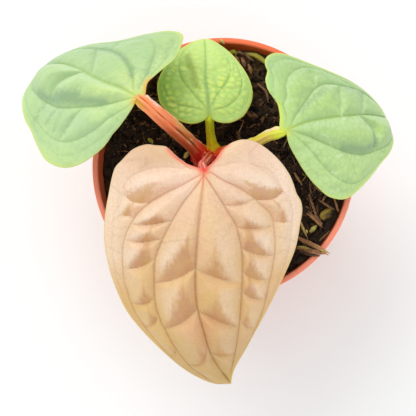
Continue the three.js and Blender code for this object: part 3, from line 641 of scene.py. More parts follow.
# For each stalk: its line (mm), its radius (mm) at parts of the way, how far it is pressed flat, its ribs and scars,
# then its colours (low, middle, high, ridges, grooves), the tint of its end, and its patches.
STALKS = {
    "petiole_left": {
        "points": [(-8.2, 4.4, 85.5), (-10.2, 6, 90.5), (-14.3, 8.9, 101), (-21.1, 13.7, 112), (-27.6, 18.5, 119.2),
                   (-31, 21.1, 120.6), (-34.4, 23.2, 119.6)],
        "widths": [(0, 4.6), (0.1, 3.5), (0.25, 2.65), (0.4, 2.75), (0.65, 2.8), (0.82, 2.6), (0.9, 2.7), (0.95, 2),
                   (1, 0.8)],
        "flat": 0.85, "slot": "orange_stalk", "scars": [(0.355, 0.05, 0.9), (0.1, 0.1, 1.2)],
        "ribs": [(-0.15, 0.14, 0.12, 0.9), (0.12, -0.2, 0.12, 0.5), (0.42, 0.1, 0.16, 0.8), (-0.7, -0.08, 0.25, 0.5),
                 (-1.35, 0.1, 0.3, 0.2), (1.4, 0.2, 0.2, 0.7), (2.6, 0.08, 0.3, 0)],
        "colours": ((232, 8, 14), (250, 100, 50), (255, 158, 92), (255, 196, 156), (196, 76, 26)),
        "end": (240, 150, 84),
        "patches": [(0.88, 1.1, -1.5, -0.3, (196, 170, 44), 0.9), (0.78, 0.93, 0.66, 1.5, (248, 214, 200), 0.75),
                    (0.28, 0.56, -0.1, 0.42, (176, 124, 52), 0.9), (0.34, 0.62, 0.72, 1.5, (206, 188, 104), 0.7),
                    (0.15, 0.6, -1.5, -0.66, (176, 92, 38), 0.6), (-0.2, 0.2, -1.5, 1.5, (236, 10, 16), 0.7)],
    },
    "petiole_back": {
        "points": [(-4.2, 6.7, 85), (-4.3, 7.9, 88), (-4.7, 10.3, 91), (-5.1, 13, 94), (-5.3, 15.5, 98),
                   (-5.4, 18, 101.2), (-5.6, 21, 101.3)],
        "widths": [(0, 4.2), (0.13, 3.4), (0.26, 2.1), (0.44, 1.75), (0.74, 1.65), (0.84, 1.8), (0.9, 1.3), (1, 0.6)],
        "flat": 0.9, "slot": "olive_stalk",
        "ribs": [(0, 0.05, 0.3, 0.2), (0.5, -0.06, 0.2, 0), (-0.5, -0.06, 0.2, 0), (1.2, 0.08, 0.3, 0),
                 (-1.2, 0.08, 0.3, 0)],
        "colours": ((236, 196, 6), (210, 228, 0), (188, 216, 10), (228, 232, 90), (190, 196, 0)),
        "end": (176, 206, 40),
        "patches": [(-0.2, 0.12, -1.5, 1.5, (226, 84, 40), 0.8), (0.3, 0.95, 0.2, 1.5, (184, 198, 0), 0.4),
                    (0.2, 0.95, -1.5, -0.8, (226, 226, 80), 0.5)],
    },
    "petiole_right": {
        "points": [(-4.6, 4, 86), (5.8, 6.6, 95), (12.4, 7.6, 103), (18, 9.4, 109.4), (22.4, 10.2, 112.6),
                   (26.4, 11.6, 112)],
        "widths": [(0, 4), (0.12, 3), (0.3, 2.1), (0.72, 2.0), (0.84, 2.3), (0.9, 1.9), (1, 0.7)], "flat": 0.85,
        "slot": "yellow_stalk",
        "ribs": [(-1.2, 0.16, 0.2, 0.7), (-0.45, -0.08, 0.22, 0.3), (0.1, 0.05, 0.2, 0.2), (0.5, -0.08, 0.2, 0.3),
                 (0.95, 0.05, 0.2, 0.3), (2.2, 0.06, 0.3, 0), (-2.2, 0.06, 0.3, 0)],
        "colours": ((232, 40, 30), (240, 214, 76), (234, 230, 78), (246, 232, 150), (206, 196, 40)),
        "end": (206, 226, 60),
        "patches": [(-0.2, 0.2, -1.5, 1.5, (232, 30, 24), 0.85), (0.74, 0.92, -1.5, -0.6, (246, 216, 196), 0.7),
                    (0.56, 0.78, 0.1, 0.6, (238, 190, 140), 0.5), (0.82, 1.1, -0.4, 1.5, (206, 228, 60), 0.7)],
    },
    "petiole_front": {
        "points": [(-4.8, 4.2, 88.5), (-5.5, 3.6, 92.0), (-6.2, 1.4, 102.0), (-7.2, -1.6, 113.0), (-7.9, -3.9, 120.2),
                   (-7.2, -6, 122.2), (-7.5, -9.4, 121)],
        "widths": [(0, 2.3), (0.2, 1.8), (0.5, 1.55), (0.86, 1.5), (0.92, 1.3), (1, 0.6)], "flat": 0.9,
        "slot": "pink_stalk",
        "ribs": [(0.5, 0.16, 0.2, 0.6), (0, -0.18, 0.25, 0.5), (-0.5, 0.16, 0.2, 0.6), (1.6, 0.08, 0.3, 0),
                 (-1.6, 0.08, 0.3, 0)],
        "colours": ((224, 6, 12), (222, 56, 46), (224, 116, 92), (250, 186, 166), (190, 40, 32)),
        "end": (228, 60, 44), "patches": [(-0.2, 0.4, -1.5, 1.5, (214, 12, 14), 0.85)],
    },
}


def curve(points, at):
    """Points at parts of the way, 0 to 1, along the smooth curve through the given points. The curve is a centripetal
    Catmull-Rom spline, and the parts of the way are measured along its length."""
    points = np.array(points, float)
    around = np.concatenate([[2 * points[0] - points[1]], points, [2 * points[-1] - points[-2]]])
    pieces = []
    for four in zip(around, around[1:], around[2:], around[3:]):
        knot = np.cumsum([0, *(np.linalg.norm(b - a) ** 0.5 for a, b in zip(four, four[1:]))])
        t = np.linspace(knot[1], knot[2], 40, endpoint=False)[:, None]
        level = list(four)
        for span in (1, 2, 3):
            level = [((knot[k + span] - t) * level[k] + (t - knot[k]) * level[k + 1]) / (knot[k + span] - knot[k])
                     if span < 3 else level[k] * (knot[2] - t) / (knot[2] - knot[1])
                     + level[k + 1] * (t - knot[1]) / (knot[2] - knot[1]) for k in range(4 - span)]
        pieces.append(level[0])
    line = np.concatenate([*pieces, points[-1:]])
    length = np.concatenate([[0], np.cumsum(np.linalg.norm(np.diff(line, axis=0), axis=1))])
    return np.stack([np.interp(np.asarray(at) * length[-1], length, line[:, k]) for k in range(line.shape[1])], -1)


def unit(vectors):
    """Each vector made one long."""
    return vectors / np.maximum(np.linalg.norm(vectors, axis=-1, keepdims=True), 1e-12)


def ribbed_stalk(points, widths, flat, ribs, steps, sides, scars=(), depth=1.0):
    """A closed, ribbed tube along a curve: at each step a ring in the plane across the curve, its radius the broken
    line of widths, times one plus the sum of the ribs, and pressed flat. A rib is (angle from the top, height, width
    in angle, raggedness along the stalk), and a groove is a rib of negative height. A scar is a low raised ring,
    (part of the way, angle, radius in mm), where something broke off. Returns the points and faces, then for each
    point its part of the way along, its relief over the depth and how far it faces aside and above, and last its
    part of the way round."""
    at = np.linspace(0, 1, steps)
    line = curve(points, at)
    forward = unit(np.gradient(line, axis=0))
    across = unit(np.cross(forward, (0.0, 0.0, 1.0)))
    top = np.cross(across, forward)
    angle = np.linspace(-np.pi, np.pi, sides, endpoint=False)[None]
    relief = np.zeros((steps, sides))
    wander = 0.12 * rough(at * 7, at * 0, 1, 7, 2)[:, None]
    for rib_angle, rib_height, rib_width, raggedness in ribs:
        tatter = 1 + raggedness * rough(at * 15, at * 0 + rib_angle, 1, 5, 2)[:, None]
        away = (angle - rib_angle - wander + np.pi) % (2 * np.pi) - np.pi
        relief += rib_height * np.exp(-((away / rib_width) ** 2)) * tatter
    radius = np.interp(at, *np.array(widths).T)[:, None]
    length = np.linalg.norm(np.diff(line, axis=0), axis=1).sum()
    for scar_at, scar_angle, scar_radius in scars:
        away = np.hypot((at[:, None] - scar_at) * length, (angle - scar_angle) * radius * 1.3)
        raised_ring = np.exp(-(((away - scar_radius) / SCAR_RING_MM) ** 2))
        relief += SCAR_RISE * raised_ring - SCAR_DIP * np.exp(-((away / scar_radius / 0.6) ** 2))
    radius = radius * (1 + relief) * (1 + 0.015 * np.cos(11 * angle))
    ring = line[:, None] + radius[..., None] * (np.cos(angle)[..., None] * top[:, None] * flat
                                                + np.sin(angle)[..., None] * across[:, None])
    points, faces = closed_body(ring[:, ::-1], line[0], line[-1])
    row, way_round = np.meshgrid(at, np.linspace(0, 1, sides), indexing="ij")
    turn = angle[:, ::-1] + 0 * row
    values = {"along": np.append(row, [0, 1]), "ridge": np.append(relief[:, ::-1] / depth, [0, 0]),
              "aside": np.append(np.sin(turn), [0, 0]), "above": np.append(np.cos(turn), [1, 1])}
    return points, faces, values, np.append(way_round, [0, 0])


for name, stalk in STALKS.items():
    points, faces, values, way_round = ribbed_stalk(stalk["points"], stalk["widths"], stalk["flat"], stalk["ribs"],
                                                    STALK_STEPS, STALK_SIDES, stalk.get("scars", ()), RIB_HEIGHT)
    flesh = flesh_material(name + "_flesh", *stalk["colours"], end=stalk["end"], patches=stalk["patches"])
    piece = new_piece(name + "_flesh", points * MM, faces, flesh, values, np.stack([way_round, values["along"]], -1))
    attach(piece, "root")
    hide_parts(name)


# Scale leaf: a small pale pink sheath, thin and dry as paper, that wrapped the newest bud. It stands at the crown
# between the stalks.
SCALE_POINTS_MM = [(-3.6, 1.4, 88), (-3.4, 1, 93), (-4.2, 0.4, 99)]
SCALE_WIDTHS_MM = [(0, 1.5), (0.5, 1.25), (0.85, 0.8), (1, 0.2)]
SMALL_STALK_STEPS, SMALL_STALK_SIDES = 60, 40
SCALE_RIBS = [(0, -0.4, 0.7, 0.2), (1.2, 0.15, 0.3, 0.6), (-1.2, 0.15, 0.3, 0.6)]
scale_skin = flesh_material("scale_skin", (222, 16, 18), (228, 48, 42), (244, 158, 140), (248, 190, 174),
                            (196, 36, 34), 0.5)
points, faces, values, _ = ribbed_stalk(SCALE_POINTS_MM, SCALE_WIDTHS_MM, 0.5, SCALE_RIBS,
                                        SMALL_STALK_STEPS, SMALL_STALK_SIDES, depth=0.3)
scale_leaf = new_piece("scale_leaf", points * MM, faces, scale_skin, values,
                       np.stack([points[:, 0] / 8, values["along"]], -1))
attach(scale_leaf, "root")
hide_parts("sheath")


# Leaf blades: heart-shaped, fleshy and quilted. The main veins run from the joint to the tip and lie in creases,
# short veins cross between them, and the skin swells up between the veins. The front blade is young and
# peach-coloured, the others are green. Each has grown as one with its stalk.
EDGE_ROUND_MM = 0.9
HALF_THICKNESS_MM = (0.26, 0.45)
GROOVES_MM = {"midrib": 0.22, "vein": 0.2, "crossing": 0.14, "crease": 0.12}
RIBS_MM = [("midrib_gap", 0.85, 0.9), ("vein_1", 0.5, 0.6), ("vein_2", 0.4, 0.5), ("vein_3", 0.25, 0.5)]
CROSS_RIB_MM = 0.2
CREASE_RIB_MM = 0.1
CREASE_WIDTH_MM = 0.4
SCUFF_WIDTH_MM = 0.28
EDGE_LINE_MM = 0.8
MARGIN_MM = 3
JOINT_SPOT_MM = 2.2
JOINT_RAYS_MM = 6
JOINT_BLEND_MM = 9
JOINT_CALM_MM = 10
THICKENING_MM = 9
VEINS_START_MM, VEINS_STOP_MM = 6, 2.5
GROOVES_START_MM = 4
JOINT_FADE = 0.25
MIDRIB_EVEN, MIDRIB_LATE, MIDRIB_POWER = 0.35, 0.65, 1.9
CROWD_AT_VEINS, CROWD_AT_MIDDLE = 0.048, 0.028
PUCKER_WIDTH = 0.28
# The side the lamp lights from, across the floor: slopes of the quilting that face away from it get painted shade,
# and slopes that face it get painted light.
PAINTED_LIGHT_SIDE = np.array([-0.45, 0.89, 0])


def plain_folds(*ends):
    """Shallow cross veins, each from (start, end) along the blade."""
    return [(*pair, 0.012, 0.5, 0.3, 1.4) for pair in ends]


# For each blade, with one entry for each side where there are two: the lines of its midrib and edges (mm), its main
# veins as (along, across) pairs, and its cross veins, strip by strip, as (start, end, bow, apex, spread, length).
# Creases, painted shade along folds and in dents (partly real bruises and dirt) and scuffs are drawn through (across,
# along) spots, after their strength and width.
BLADES = {
    "blade_front": {
        "rows": 270, "columns": (38, 30, 20, 12), "puff": 0.22, "swell": [(1, 1, 0.72, 0.3), (1, 1, 0.76, 0.3)],
        "crisp": (1.15, 9.0), "notch_width": 0.75, "notch": (0.105, 0.1), "net_line": 0.2, "net": (2.8, 2.4, 0.04),
        "wrinkle": 0.24, "vein_width": (0.42, 0.32, 0.28, 0.24), "vein_strength": (1, 0.9, 0.75, 0.28, 0.55),
        "painted_shade_slope": 0.34, "inner_shade": [(0.8, 0.35, 0.85, 0), (0.1, 0.35, 0.85, 0)],
        "midrib": [(-7.1, -5.7, 124), (-8, -15.5, 121.5), (-9.5, -27.5, 117), (-10.5, -39.5, 111.5),
                   (-10.5, -53.5, 104.5), (-8, -64.5, 98), (-4.5, -75.5, 91), (3, -86.5, 83)],
        "edges": [[(-7.1, -5.7, 124), (-10.6, -4.6, 123.4), (-15, -2.7, 122.6), (-17.8, -0.8, 122.2),
                   (-19.9, 1.2, 121.9), (-21.1, 3.1, 121.6), (-22.7, 3.6, 121.2), (-25.4, 3.9, 120.6),
                   (-28.9, 4.4, 119.7), (-34, 2.8, 118.3), (-38.5, -1.1, 116), (-40.9, -3.4, 114.6),
                   (-42.2, -6.4, 113.2), (-43.8, -13.4, 111.3), (-45.2, -20.8, 109.8), (-45.8, -29.6, 107.5),
                   (-45.1, -36.6, 105), (-42.7, -46.5, 101), (-36.6, -59.5, 96), (-19, -78, 88), (-10, -84, 84.5),
                   (-3.5, -86.5, 82.5), (3, -86.5, 83)],
                  [(-7.1, -5.7, 124), (-4.5, -3.5, 123.2), (-1.8, -0.8, 122.4), (-0.2, 2, 121.8), (2, 4, 121.4),
                   (4.8, 5.4, 121.1), (8, 6, 120.9), (12.2, 5.3, 119.6), (16.9, 2.5, 118), (21.7, -1.9, 116.4),
                   (25, -6.4, 115), (26.7, -10.1, 113.8), (27.8, -13.3, 112.7), (29.6, -16.4, 111.5),
                   (30.1, -19.9, 110.3), (29.3, -25, 109), (28.7, -29, 107.9), (27.4, -34.7, 105.8), (20, -51.5, 99),
                   (10, -70.5, 91), (4, -81.5, 86.5), (3, -86.5, 83)]],
        "veins": [[[(0, 0), (0.1, 0.055), (0.21, 0.12), (0.32, 0.22), (0.395, 0.3), (0.458, 0.38), (0.512, 0.45),
                    (0.578, 0.5), (0.638, 0.56), (0.69, 0.61), (0.738, 0.65), (0.792, 0.71), (0.835, 0.75),
                    (1, 0.84)],
                   [(0, 0), (0.09, 0.13), (0.215, 0.26), (0.288, 0.41), (0.338, 0.56), (0.385, 0.67), (0.44, 0.76),
                    (0.478, 0.8), (0.537, 0.84), (0.75, 0.92), (1, 0.96)],
                   [(0, 0), (0.05, 0.3), (0.163, 0.46), (0.23, 0.69), (0.26, 0.77), (0.302, 0.84), (0.34, 0.87),
                    (0.5, 0.92), (1, 0.98)]],
                  [[(0, 0), (0.1, 0.09), (0.25, 0.2), (0.338, 0.28), (0.427, 0.37), (0.508, 0.44), (0.593, 0.5),
                    (0.68, 0.56), (0.74, 0.6), (0.8, 0.64), (0.888, 0.71), (1, 0.8)],
                   [(0, 0), (0.04, 0.13), (0.09, 0.21), (0.21, 0.32), (0.283, 0.46), (0.35, 0.59), (0.405, 0.68),
                    (0.463, 0.74), (0.527, 0.78), (0.595, 0.82), (0.657, 0.86), (0.733, 0.92), (1, 0.96)],
                   [(0, 0), (0.05, 0.25), (0.095, 0.35), (0.152, 0.46), (0.208, 0.67), (0.26, 0.77), (0.307, 0.83),
                    (0.35, 0.87), (0.5, 0.92), (1, 0.98)]]],
        "cross": [[[(0.56, 0.59, 0.012, 0.25, 1, 3.2), (0.715, 0.735, 0.012, 0.3, 1, 2.4),
                    (0.85, 0.86, 0.03, 0.35, 0.45, 1.8)],
                   [(0.37, 0.403, 0.012, 0.45, 0.65, 1.12), (0.44, 0.448, 0.012, 0.4, 0.5, 1.2),
                    (0.512, 0.53, 0.012, 0.33, 0.75, 2.1), (0.635, 0.628, 0.012, 0.3, 0.6, 1.8),
                    (0.69, 0.705, 0.012, 0.3, 0.6, 1.8), (0.8, 0.81, 0.012, 0.3, 0.35, 2.1)],
                   [(0.333, 0.323, 0.012, 0.4, 0.85, 2.25), (0.388, 0.395, -0.008, 0.45, 0.4, 2.2)]],
                  [[(0.562, 0.635, 0.012, 0.42, 0.5, 1.9), (0.723, 0.792, 0.012, 0.44, 0.85, 1.6),
                    (0.875, 0.883, 0.012, 0.36, 0.7, 1.5)],
                   [(0.323, 0.343, 0.012, 0.5, 0.2, 1.2), (0.427, 0.45, 0.012, 0.3, 0.45, 1.2),
                    (0.508, 0.55, 0.012, 0.25, 0.95, 1.95), (0.598, 0.63, 0.012, 0.22, 0.75, 1.95),
                    (0.665, 0.698, 0.012, 0.22, 0.75, 1.95), (0.77, 0.797, 0.012, 0.25, 0.55, 2.1)],
                   [(0.35, 0.357, 0.012, 0.3, 1.2, 2.25), (0.437, 0.452, 0.004, 0.5, 0.45, 2.8)]]],
        "creases": [(0.5, [(-0.02, 0.425), (-0.2, 0.44), (-0.38, 0.458)]),
                    (0.3, [(0.05, 0.44), (0.15, 0.46), (0.2, 0.5)]),
                    (0.45, [(-0.8, 0.2), (-0.73, 0.222), (-0.76, 0.238)]),
                    (0.4, [(-0.8, 0.212), (-0.9, 0.225), (-0.99, 0.245)]),
                    (0.45, [(-0.97, 0.315), (-0.88, 0.325), (-0.83, 0.34), (-0.88, 0.37)]),
                    (0.4, [(-0.72, 0.378), (-0.8, 0.39), (-0.9, 0.4)]),
                    (0.35, [(-0.69, 0.41), (-0.8, 0.418), (-0.9, 0.415)]),
                    (0.35, [(-0.76, 0.44), (-0.84, 0.442), (-0.9, 0.435)]),
                    (0.35, [(-0.8, 0.49), (-0.87, 0.48), (-0.95, 0.47)]),
                    (0.3, [(-0.83, 0.56), (-0.9, 0.545), (-0.96, 0.54)]),
                    (0.45, [(0.95, 0.19), (0.8, 0.2), (0.74, 0.235), (0.84, 0.27)]),
                    (0.4, [(0.84, 0.27), (0.85, 0.3), (0.86, 0.34), (0.9, 0.375)]),
                    (0.4, [(0.78, 0.385), (0.84, 0.38), (0.92, 0.39)]),
                    (0.35, [(0.76, 0.485), (0.88, 0.5), (0.97, 0.515)]),
                    (0.35, [(0.8, 0.55), (0.86, 0.535), (0.93, 0.54)])],
    },
    "blade_left": {
        "rows": 190, "columns": (32, 22, 14, 10), "puff": 0.17,
        "swell": [(0.6, 0.4, 0.15, 0.08), (1.3, 0.35, 0.12, 0.08)], "crisp": (1.5, 5.0), "notch_width": 1.3,
        "notch": (0.095, 0.03), "net_line": 0.16, "net": (3.0, 2.4, 0.03), "wrinkle": 0.16,
        "vein_width": (0.5, 0.42, 0.36, 0.32), "vein_strength": (1, 0.9, 0.55, 0.08, 0.5), "painted_shade_slope": 0.24,
        "midrib": [(-31.4, 21.5, 122), (-38, 25.5, 120), (-44.5, 28.5, 116.5), (-51, 32.5, 111), (-58, 37.5, 103),
                   (-66, 41.5, 92), (-76, 43.5, 76)],
        "edges": [[(-31.4, 21.5, 122), (-29.8, 20.6, 121.8), (-29.2, 23.1, 121.7), (-28.7, 26.6, 121.6),
                   (-27.9, 28.2, 121.5), (-25.9, 30.3, 121.3), (-21.8, 33.9, 120.6), (-18.3, 37.2, 119.5),
                   (-16.5, 40.2, 118.6), (-15.6, 43.9, 117.4), (-15.2, 46.5, 116.5), (-16.4, 48.4, 115),
                   (-20.6, 49.7, 113), (-30, 50.3, 106), (-41, 49.5, 99), (-55.4, 49.9, 90), (-68.5, 47.5, 80),
                   (-76, 43.5, 76)],
                  [(-31.4, 21.5, 122), (-32.7, 21.4, 121.8), (-33.6, 19, 121), (-36, 15.5, 119.5),
                   (-39.2, 11.5, 117.9), (-42, 8.6, 116.5), (-43.9, 6, 115.3), (-46.2, 3.6, 114), (-50.2, 0.6, 112.5),
                   (-54.9, -1.8, 110.5), (-57.8, -2.7, 109.5), (-61.5, -3, 109), (-65.9, -1.6, 107.5),
                   (-69.3, 0.8, 105.5), (-72.1, 5.2, 103.5), (-74.5, 9.9, 101), (-76.1, 13.3, 99.5),
                   (-78.5, 17.4, 98), (-79.9, 21.5, 96.5), (-81.1, 27, 91.5), (-80.6, 30.9, 88.5), (-78.8, 35.8, 85),
                   (-77.1, 39.8, 82), (-76, 43.5, 76)]],
        "veins": [[[(0, 0), (0.205, 0.2), (0.325, 0.28), (0.405, 0.39), (0.475, 0.47), (0.55, 0.57), (0.61, 0.63),
                    (0.68, 0.67), (0.77, 0.75), (1, 0.86)],
                   [(0, 0), (0.1, 0.34), (0.2, 0.47), (0.265, 0.53), (0.31, 0.59), (0.36, 0.71), (0.41, 0.8),
                    (0.55, 0.87), (1, 0.96)],
                   [(0, 0), (0.1, 0.55), (0.175, 0.66), (0.233, 0.76), (0.3, 0.88), (0.5, 0.94), (1, 0.98)]],
                  [[(0, 0), (0.1, 0.17), (0.21, 0.235), (0.345, 0.28), (0.425, 0.32), (0.48, 0.38), (0.57, 0.52),
                    (0.64, 0.6), (0.705, 0.66), (1, 0.85)],
                   [(0, 0), (0.04, 0.34), (0.095, 0.46), (0.19, 0.48), (0.255, 0.5), (0.295, 0.57), (0.35, 0.63),
                    (0.395, 0.69), (0.44, 0.74), (0.485, 0.77), (0.535, 0.81), (0.75, 0.9), (1, 0.96)],
                   [(0, 0), (0.09, 0.62), (0.16, 0.74), (0.29, 0.8), (0.4, 0.87), (0.6, 0.93), (1, 0.98)]]],
        "cross": [[[(0.5, 0.66, 0.01, 0.5, 0.3, 1.4)], [(0.55, 0.57, 0.012, 0.5, 0.3, 1.4)], []],
                  [[(0.57, 0.585, 0.09, 0.35, 0.6, 1.6)], [(0.435, 0.46, 0.01, 0.5, 0.3, 1.4)], []]],
        "creases": [(0.35, [(-0.93, 0.275), (-0.74, 0.233), (-0.62, 0.175), (-0.9, 0.06)])],
        "shade_smudges": [(0.8, 1.7,
                     [(0.62, 0.71), (0.56, 0.66), (0.47, 0.6), (0.38, 0.54), (0.3, 0.475), (0.25, 0.405),
                      (0.22, 0.31)]),
                    (1.0, 2.6, [(0.44, 0.61), (0.36, 0.56), (0.27, 0.49)]),
                    (0.75, 1.7, [(-0.24, 0.28), (-0.37, 0.39), (-0.5, 0.5), (-0.62, 0.61), (-0.68, 0.72)]),
                    (0.4, 2.2, [(-0.36, 0.1), (-0.46, 0.2), (-0.55, 0.28), (-0.7, 0.33)]),
                    (0.4, 1.6, [(-0.72, 0.27), (-0.8, 0.3), (-0.85, 0.32)]),
                    (0.5, 1.5, [(0.52, 0.565), (0.62, 0.568), (0.73, 0.57)]),
                    (0.42, 1.3, [(0.5, 0.525), (0.6, 0.52), (0.7, 0.51)]),
                    (0.45, 1.5, [(0.65, 0.645), (0.78, 0.64), (0.9, 0.63)]),
                    (0.4, 1.3, [(0.44, 0.46), (0.55, 0.458), (0.65, 0.455)])],
    },
    "blade_right": {
        "rows": 190, "columns": (32, 22, 14, 10), "puff": 0.16,
        "swell": [(1.2, 0.45, 0.15, 0.08), (0.6, 0.5, 0.3, 0.1)], "crisp": (1.5, 5.0), "notch_width": 1.2,
        "notch": (0.02, 0.12), "net_line": 0.16, "net": (3.0, 2.4, 0.03), "wrinkle": 0.16,
        "vein_width": (0.5, 0.42, 0.36, 0.32), "vein_strength": (1, 0.9, 0.65, 0.12, 0.5), "painted_shade_slope": 0.24,
        "midrib": [(23.2, 10.3, 114), (32, 14, 112), (41.5, 16.5, 107.5), (48.5, 18, 102.5), (56, 20, 94.5),
                   (67.5, 22, 76)],
        "edges": [[(23.2, 10.3, 114), (24, 9.2, 113.4), (24.6, 6.6, 112.8), (25.6, 4.1, 112), (27.6, 0.7, 111.2),
                   (30.5, -4, 110), (33.8, -8.1, 108.1), (37.5, -11.5, 106), (40.1, -13.5, 104.7), (43.5, -14.5, 103),
                   (46.4, -14.6, 101.8), (49.5, -13.4, 100), (56.5, -7, 96), (63, 1, 90.5), (67.3, 6.1, 86.5),
                   (69.1, 10.1, 84), (69.5, 12, 82), (69.3, 14.8, 80), (68.7, 17.7, 78), (67.5, 22, 76)],
                  [(23.2, 10.3, 114), (21.8, 10.5, 113.9), (21.4, 13, 113.8), (21.6, 15.1, 113.7),
                   (21.4, 17.7, 113.5), (20.7, 21, 113.3), (18.9, 24.7, 113), (17.2, 26.5, 112.7),
                   (16.5, 28.7, 112.3), (16.2, 30.8, 112), (16.8, 33.2, 111.5), (17, 34.9, 111), (16.3, 36.3, 110.5),
                   (16.1, 38.5, 109.8), (17.3, 40.7, 108.7), (19.7, 42.1, 107.7), (23.1, 42.2, 106.7),
                   (27, 41.4, 105), (34, 39.5, 101.5), (43, 37, 97), (51, 34.5, 92), (58.5, 31, 85.5),
                   (64.5, 26.5, 79), (66.6, 23.9, 77), (67.5, 22, 76)]],
        "veins": [[[(0, 0), (0.09, 0.1), (0.23, 0.2), (0.35, 0.28), (0.43, 0.36), (0.485, 0.44), (0.555, 0.56),
                    (0.64, 0.67), (0.715, 0.75), (0.8, 0.84), (1, 0.92)],
                   [(0, 0), (0.09, 0.2), (0.205, 0.35), (0.275, 0.46), (0.325, 0.56), (0.37, 0.65), (0.415, 0.74),
                    (0.45, 0.81), (0.495, 0.88), (0.6, 0.93), (0.8, 0.96), (1, 0.98)],
                   [(0, 0), (0.072, 0.5), (0.24, 0.78), (0.362, 0.87), (0.45, 0.93), (0.6, 0.96), (1, 0.99)]],
                  [[(0, 0), (0.205, 0.16), (0.388, 0.29), (0.47, 0.46), (0.55, 0.6), (0.647, 0.68), (0.795, 0.77),
                    (1, 0.86)],
                   [(0, 0), (0.05, 0.24), (0.133, 0.41), (0.31, 0.54), (0.4, 0.7), (0.482, 0.84), (0.7, 0.93),
                    (1, 0.97)],
                   [(0, 0), (0.05, 0.5), (0.133, 0.65), (0.25, 0.8), (0.4, 0.9), (0.6, 0.955), (1, 0.985)]]],
        "cross": [[[(0.69, 0.665, 0.07, 0.5, 0.4, 1.4)],
                   [(0.497, 0.515, 0.01, 0.5, 0.4, 1.4), (0.72, 0.735, 0.01, 0.5, 0.3, 1.4)], []],
                  [[(0.55, 0.64, 0.012, 0.5, 0.4, 1.4), (0.73, 0.785, 0.012, 0.5, 0.4, 1.4)],
                   [(0.48, 0.5, 0.012, 0.5, 0.3, 1.4)], []]],
        "creases": [(0.4, [(0.18, 0.235), (0.29, 0.328), (0.43, 0.39), (0.57, 0.395)])],
        "shade_smudges": [(1.0, 1.9, [(-0.4, 0.49), (-0.5, 0.56), (-0.59, 0.63), (-0.61, 0.7), (-0.46, 0.72)]),
                    (0.55, 1.5, [(0.15, 0.3), (0.28, 0.42), (0.49, 0.53)]),
                    (0.5, 1.6, [(0.64, 0.66), (0.64, 0.74), (0.71, 0.8)]),
                    (0.5, 1.2, [(-0.6, 0.715), (-0.49, 0.73), (-0.32, 0.73), (-0.19, 0.7)])],
        "scuffs": [[(0.66, 0.5), (0.73, 0.545), (0.71, 0.565)], [(0.52, 0.555), (0.61, 0.595), (0.63, 0.62)],
                   [(0.03, 0.555), (-0.02, 0.575), (-0.06, 0.545)], [(-0.19, 0.365), (-0.25, 0.41), (-0.35, 0.42)],
                   [(-0.48, 0.425), (-0.48, 0.46), (-0.48, 0.49)], [(-0.66, 0.385), (-0.68, 0.415)],
                   [(-0.91, 0.355), (-0.91, 0.385), (-0.88, 0.405)], [(0.21, 0.93), (0.45, 0.975)],
                   [(-0.36, 0.29), (-0.39, 0.31)], [(-1.0, 0.585), (-1.0, 0.6)], [(0.58, 0.715), (0.54, 0.73)]],
    },
    "blade_back": {
        "rows": 150, "columns": (24, 18, 12, 8), "puff": 0.1, "swell": [(1, 0.8, 0.5, 0.3), (1, 0.8, 0.5, 0.3)],
        "crisp": (1.6, 4.0), "notch_width": 0.8, "notch": (0.02, 0.02), "net_line": 0.26, "net": (3.2, 2.3, 0.12),
        "wrinkle": 0.1, "vein_width": (0.75, 0.5, 0.45, 0.34), "vein_strength": (1, 0.85, 0.6, 0.12, 0.3),
        "painted_shade_slope": 0.3,
        "midrib": [(-5.5, 18.5, 102.5), (-6, 25, 102.5), (-7, 33, 101), (-7, 41.5, 98.5), (-7.4, 51.3, 94.5)],
        "edges": [[(-5.5, 18.5, 102.5), (-4.4, 17.1, 102.5), (-2.5, 16, 102.5), (-0.2, 15.5, 102.3), (2.5, 15.6, 102),
                   (5.2, 16.6, 101.5), (8, 18.5, 101), (10.1, 21.7, 100.5), (11.4, 25.1, 100), (11.7, 28.1, 99.8),
                   (11, 31.9, 99.5), (9.3, 36, 98.8), (6.5, 40.5, 97.5), (3.2, 44.6, 96.8), (-0.5, 48, 95.5),
                   (-2.9, 49.8, 94.9), (-5.1, 50.9, 94.6), (-7.4, 51.3, 94.5)],
                  [(-5.5, 18.5, 102.5), (-7.2, 16.8, 102.5), (-9, 15.8, 102.5), (-11.7, 15.2, 102.3),
                   (-14.5, 15.5, 102), (-17.6, 16.7, 101.5), (-20.5, 18.5, 101), (-23.1, 21.4, 100.7),
                   (-25, 24, 100.5), (-25.9, 27.8, 100), (-26.1, 31.6, 99.5), (-25.1, 35.4, 98.8), (-22.9, 39.5, 98),
                   (-20.2, 43.6, 97.2), (-17, 46.8, 96), (-14.6, 48.5, 95.4), (-12.3, 49.9, 95), (-9.7, 50.9, 94.6),
                   (-7.4, 51.3, 94.5)]],
        "veins": [[[(0, 0), (0.23, 0.1), (0.445, 0.29), (0.54, 0.49), (0.64, 0.67), (0.74, 0.76), (1, 0.9)],
                   [(0, 0), (0.09, 0.1), (0.18, 0.2), (0.3, 0.5), (0.375, 0.65), (0.46, 0.75), (0.7, 0.9), (1, 0.97)],
                   [(0, 0), (0.1, 0.3), (0.2, 0.6), (0.3, 0.83), (0.4, 0.91), (0.6, 0.96), (1, 0.985)]],
                  [[(0, 0), (0.235, 0.12), (0.365, 0.22), (0.48, 0.36), (0.55, 0.48), (0.655, 0.65), (0.725, 0.73),
                    (1, 0.9)],
                   [(0, 0), (0.1, 0.13), (0.2, 0.24), (0.295, 0.46), (0.345, 0.68), (0.42, 0.8), (0.48, 0.86),
                    (0.7, 0.94), (1, 0.97)],
                   [(0, 0), (0.1, 0.3), (0.2, 0.55), (0.3, 0.82), (0.4, 0.91), (0.6, 0.96), (1, 0.985)]]],
